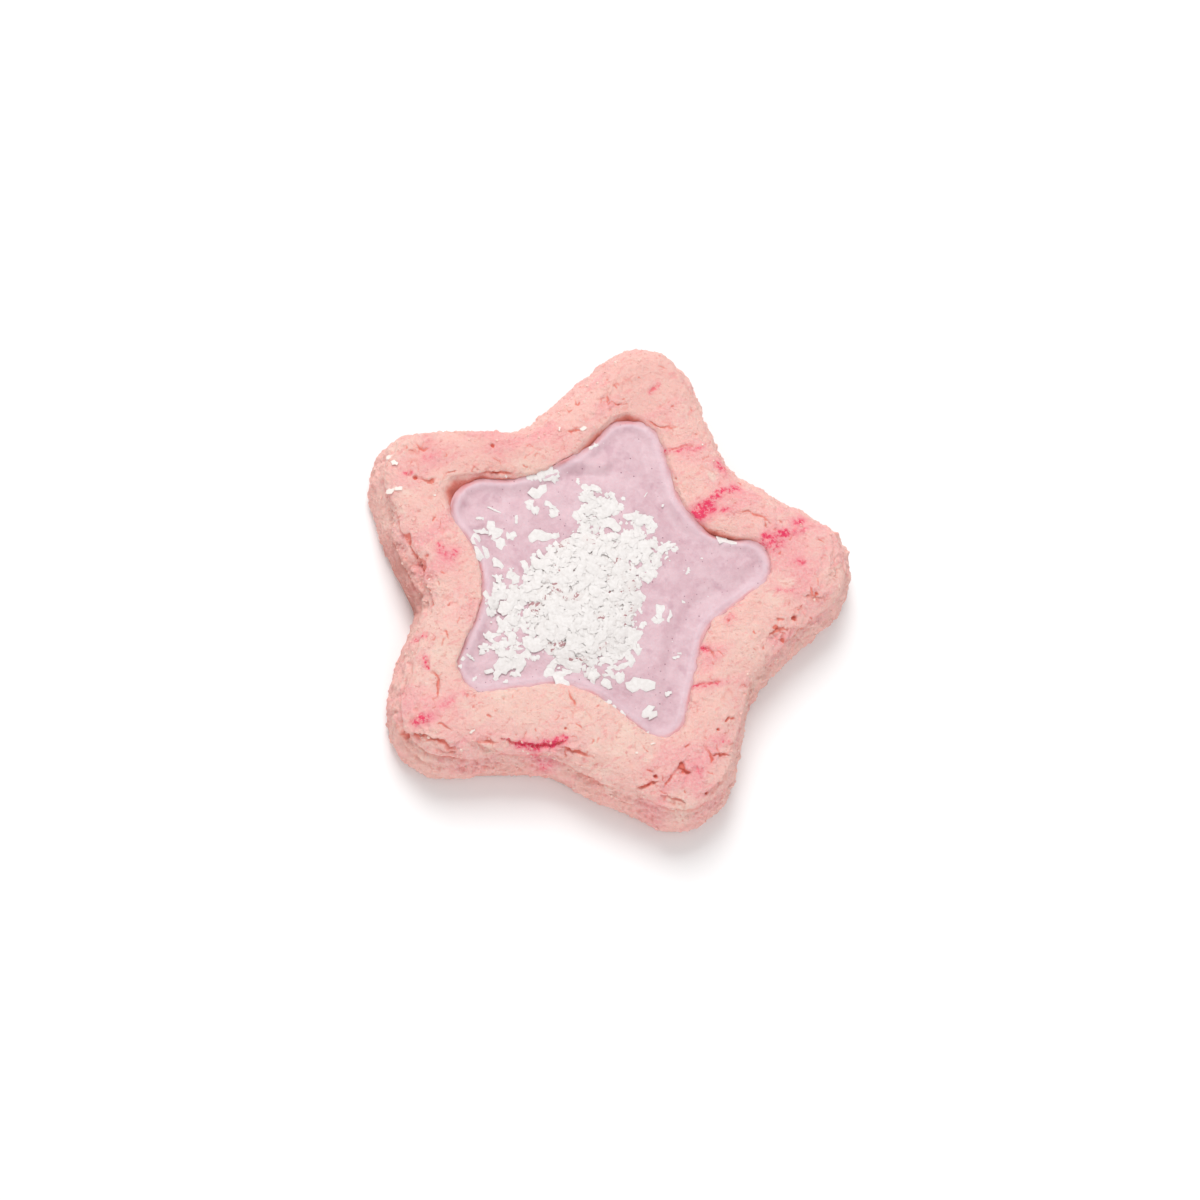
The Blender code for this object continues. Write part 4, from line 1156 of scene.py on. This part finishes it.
def add_shred(x, y, middle, slopes, length, width, thick, turn, curl, corners):
    """Add one thin plate with a torn outline to the joined mesh of shreds."""
    rings = []
    for layer in (0, 1):
        ring = []
        inset = 0.9 if layer else 1.0
        for cu, cv in corners:
            pu = cu * 0.5 * length * inset
            pv = cv * 0.5 * width * inset
            bend = curl[0] * pu * pu + curl[1] * pv * pv + curl[2] * pu * pv
            pz = middle + slopes[0] * pu + slopes[1] * pv + bend + layer * thick
            px = x + pu * math.cos(turn) - pv * math.sin(turn)
            py = y + pu * math.sin(turn) + pv * math.cos(turn)
            ring.append(len(shred_points))
            shred_points.append((px * MM, py * MM, pz * MM))
        centre = len(shred_points)
        shred_points.append((x * MM, y * MM, (middle + layer * thick) * MM))
        rings.append((ring, centre))
    (low_ring, low_centre), (high_ring, high_centre) = rings
    count = len(corners)
    for k in range(count):
        after = (k + 1) % count
        shred_faces.append((low_ring[after], low_ring[k], low_centre))
        shred_faces.append((high_ring[k], high_ring[after], high_centre))
        shred_faces.append((low_ring[k], low_ring[after], high_ring[after], high_ring[k]))


def grid_span(middle, half):
    """The grid's rows or columns up to a half length from a place."""
    low = max(0, int((middle - half + GRID_REACH) / GRID))
    return slice(low, min(side_count, int((middle + half + GRID_REACH) / GRID) + 2))


def lay_shred(x, y, length, width, turn, flatness=1):
    """Lay one shred on what is already there, and raise the ground for the next one."""
    thick = draw.uniform(0.03, 0.06)
    lean = (draw.gauss(0, 0.02) * flatness, draw.gauss(0, 0.04) * flatness)
    curl = (draw.gauss(0, 0.02), draw.gauss(0, 0.04), draw.gauss(0, 0.02))
    corners = ragged_outline(draw.randint(5, 8) if length > 1.2 else draw.randint(3, 4))
    half = 0.5 * length
    window = grid_span(x, half), grid_span(y, half)
    patch = ground[window]
    gx = grid_x[window] - x
    gy = grid_y[window] - y
    u = gx * math.cos(turn) + gy * math.sin(turn)
    v = gy * math.cos(turn) - gx * math.sin(turn)
    under = (u / half) ** 2 + (v / (0.5 * width)) ** 2 < 1.0
    if under.sum() < 3:
        distance = np.hypot(u, v)
        under = distance <= distance.min() + GRID
    heights = patch[under]
    slopes = (0, 0)
    if under.sum() >= 8:
        spots = np.column_stack((u[under], v[under], np.ones(under.sum())))
        fitted = np.linalg.lstsq(spots, heights, rcond=None)[0]
        slopes = [max(-MAX_SLOPE, min(MAX_SLOPE, float(slope))) for slope in fitted[:2]]
    slopes = (slopes[0] + lean[0], slopes[1] + lean[1])
    lifted = heights - slopes[0] * u[under] - slopes[1] * v[under]
    middle = float(np.percentile(lifted, 50))
    add_shred(x, y, middle, slopes, length, width, thick, turn, curl, corners)
    plane = middle + slopes[0] * u + slopes[1] * v + thick
    patch[under] = np.maximum(patch[under], plane[under])


draw = random.Random(SHRED_SEED)
placed = 0
while placed < HEAP_SHREDS:
    x = draw.uniform(-22, 14)
    y = draw.uniform(-20, 17)
    cell = int((x + GRID_REACH) / GRID), int((y + GRID_REACH) / GRID)
    if draw.random() > coverage(x, y, heap_depth[cell]):
        continue
    kind = draw.random()
    size = next(sizes for share, *sizes in SHRED_SIZES if kind < share)
    if placed >= HEAP_SHREDS - BROAD_SHREDS:
        if heap_depth[cell] < BROAD_INSET:
            continue
        size = BROAD_SIZE
    length = draw.uniform(*size[:2])
    width = length * draw.uniform(*size[2:])
    if grid_inward[cell] < 0.3 + 0.25 * length:
        continue
    lay_shred(x, y, length, width, math.radians(draw.gauss(30, 55)))
    placed += 1
for x, y, length, width, turn in LONE_SHREDS:
    lay_shred(x, y, LONE_STRETCH * length, LONE_GROWTH * width, math.radians(turn), 0.6)
stray_start = len(shred_points)
for x, y, length, width, turn in STRAY_SHREDS:
    above = Vector((x * MM, y * MM, 0.02))
    spot, normal, _, _ = dough_surface.ray_cast(above, Vector((0, 0, -1)))
    aim = math.radians(turn)
    lengthwise = Vector((math.cos(aim), math.sin(aim), 0))
    sideways = Vector((-math.sin(aim), math.cos(aim), 0))
    tilt = (-normal.dot(lengthwise) / normal.z, -normal.dot(sideways) / normal.z)
    add_shred(x, y, spot.z / MM + 0.05, tilt, length, width, STRAY_THICKNESS, aim,
              (0, 0.1, 0), ragged_outline(5))

coconut = joined_mesh("coconut_shreds", shred_points, shred_faces)
store(coconut, "stray", np.arange(len(shred_points)) >= stray_start)
choose(coconut)
bpy.ops.object.shade_smooth_by_angle(angle=math.radians(35))

dried, shader, place = new_material("dried_coconut", 0.7, 0.2)
fibre = remap(cloud(place, 0.5, 3), 0.3, 0.7)
paint(shader, (0.75, 0.71, 0.69), (fibre, (0.82, 0.785, 0.77)),
      (kept(place, "stray"), (0.91, 0.79, 0.73)))
add_bump(shader, cloud(place, 0.15, 3), 0.3, 0.05)

# The middle of the heap takes dark mauve spots: the glaze's colour in painted shade, which shows in
# the gaps between the shreds.
gap_shaded_core, shader, place = new_material("coconut_core_gap_shade", 0.8, 0.2)
gap_shade = remap(cloud(slanted(place, 30, 1.6), 0.6, 2), 0.53, 0.62)
paint(shader, (0.76, 0.71, 0.69), (gap_shade, (0.44, 0.24, 0.25)))
add_bump(shader, cloud(place, 0.3, 3), 0.4, 0.1)
for piece, look in ((heap_core, gap_shaded_core), (coconut, dried)):
    dress(piece, look)
    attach(piece, "root")


# --- The white table, the light and the camera ------------------------------------------
# A plain white sweep under a soft light from the top of the picture, a little to the left,
# with a low white card in front, a pale room all round and the camera almost overhead.

bpy.ops.mesh.primitive_plane_add(size=3)
floor = bpy.context.object
floor.name = "white_table"
paper, shader, _ = new_material("white_paper", 0.9, 0.1)
shader.inputs["Base Color"].default_value = (0.96, 0.96, 0.96, 1)
dress(floor, paper)

# The picture's right and up, on the table.
PHOTO_TURN = math.radians(11)
across = Vector((math.cos(PHOTO_TURN), math.sin(PHOTO_TURN), 0))
upward = Vector((-math.sin(PHOTO_TURN), math.cos(PHOTO_TURN), 0))

# The camera leans this way, right and up in the picture.
CAMERA_LEAN = (-0.52, -0.85)
CAMERA_RISE = math.radians(72)
CAMERA_AIM = Vector((0.3, -2, 6)) * MM
CAMERA_DISTANCE = 0.442
lean_way = (across * CAMERA_LEAN[0] + upward * CAMERA_LEAN[1]).normalized()
back = lean_way * math.cos(CAMERA_RISE) + Vector((0, 0, math.sin(CAMERA_RISE)))
camera_data = bpy.data.cameras.new("photo_camera")
camera_data.lens = 85.0
camera_data.sensor_width = 36.0
camera_data.clip_start = 0.01
camera = new_object("photo_camera", camera_data)
right =(-back).cross(upward).normalized()
top_way = right.cross(-back)
turned = Matrix((right, top_way, back)).transposed().to_4x4()
camera.matrix_world = Matrix.Translation(CAMERA_AIM + back * CAMERA_DISTANCE) @ turned
bpy.context.scene.camera = camera

# Each light: name, way to it (right and up in the picture, then up from the table), size
# and distance in metres and power in watts.
LIGHTS = (
    ("softbox", (-0.2, 0.82, 1.12), 0.35, 0.7, 3.25),
    ("front_card", (0, -1, 0.36), 0.5, 0.8, 1.75),
)
FILL = 0.61
for name, way, size, distance, power in LIGHTS:
    toward = (across * way[0] + upward * way[1] + Vector((0, 0, way[2]))).normalized()
    light_data = bpy.data.lights.new(name, "AREA")
    light_data.shape = "SQUARE"
    light_data.size = size
    light_data.energy = power
    light = new_object(name, light_data)
    light.location = toward * distance
    light.rotation_euler = toward.to_track_quat("Z", "Y").to_euler()

world = bpy.data.worlds.new("studio")
bpy.context.scene.world = world
world.use_nodes = True
backdrop = world.node_tree.nodes["Background"]
backdrop.inputs["Color"].default_value = (1, 1, 1, 1)
backdrop.inputs["Strength"].default_value = FILL
bpy.context.scene.view_settings.view_transform = "Standard"
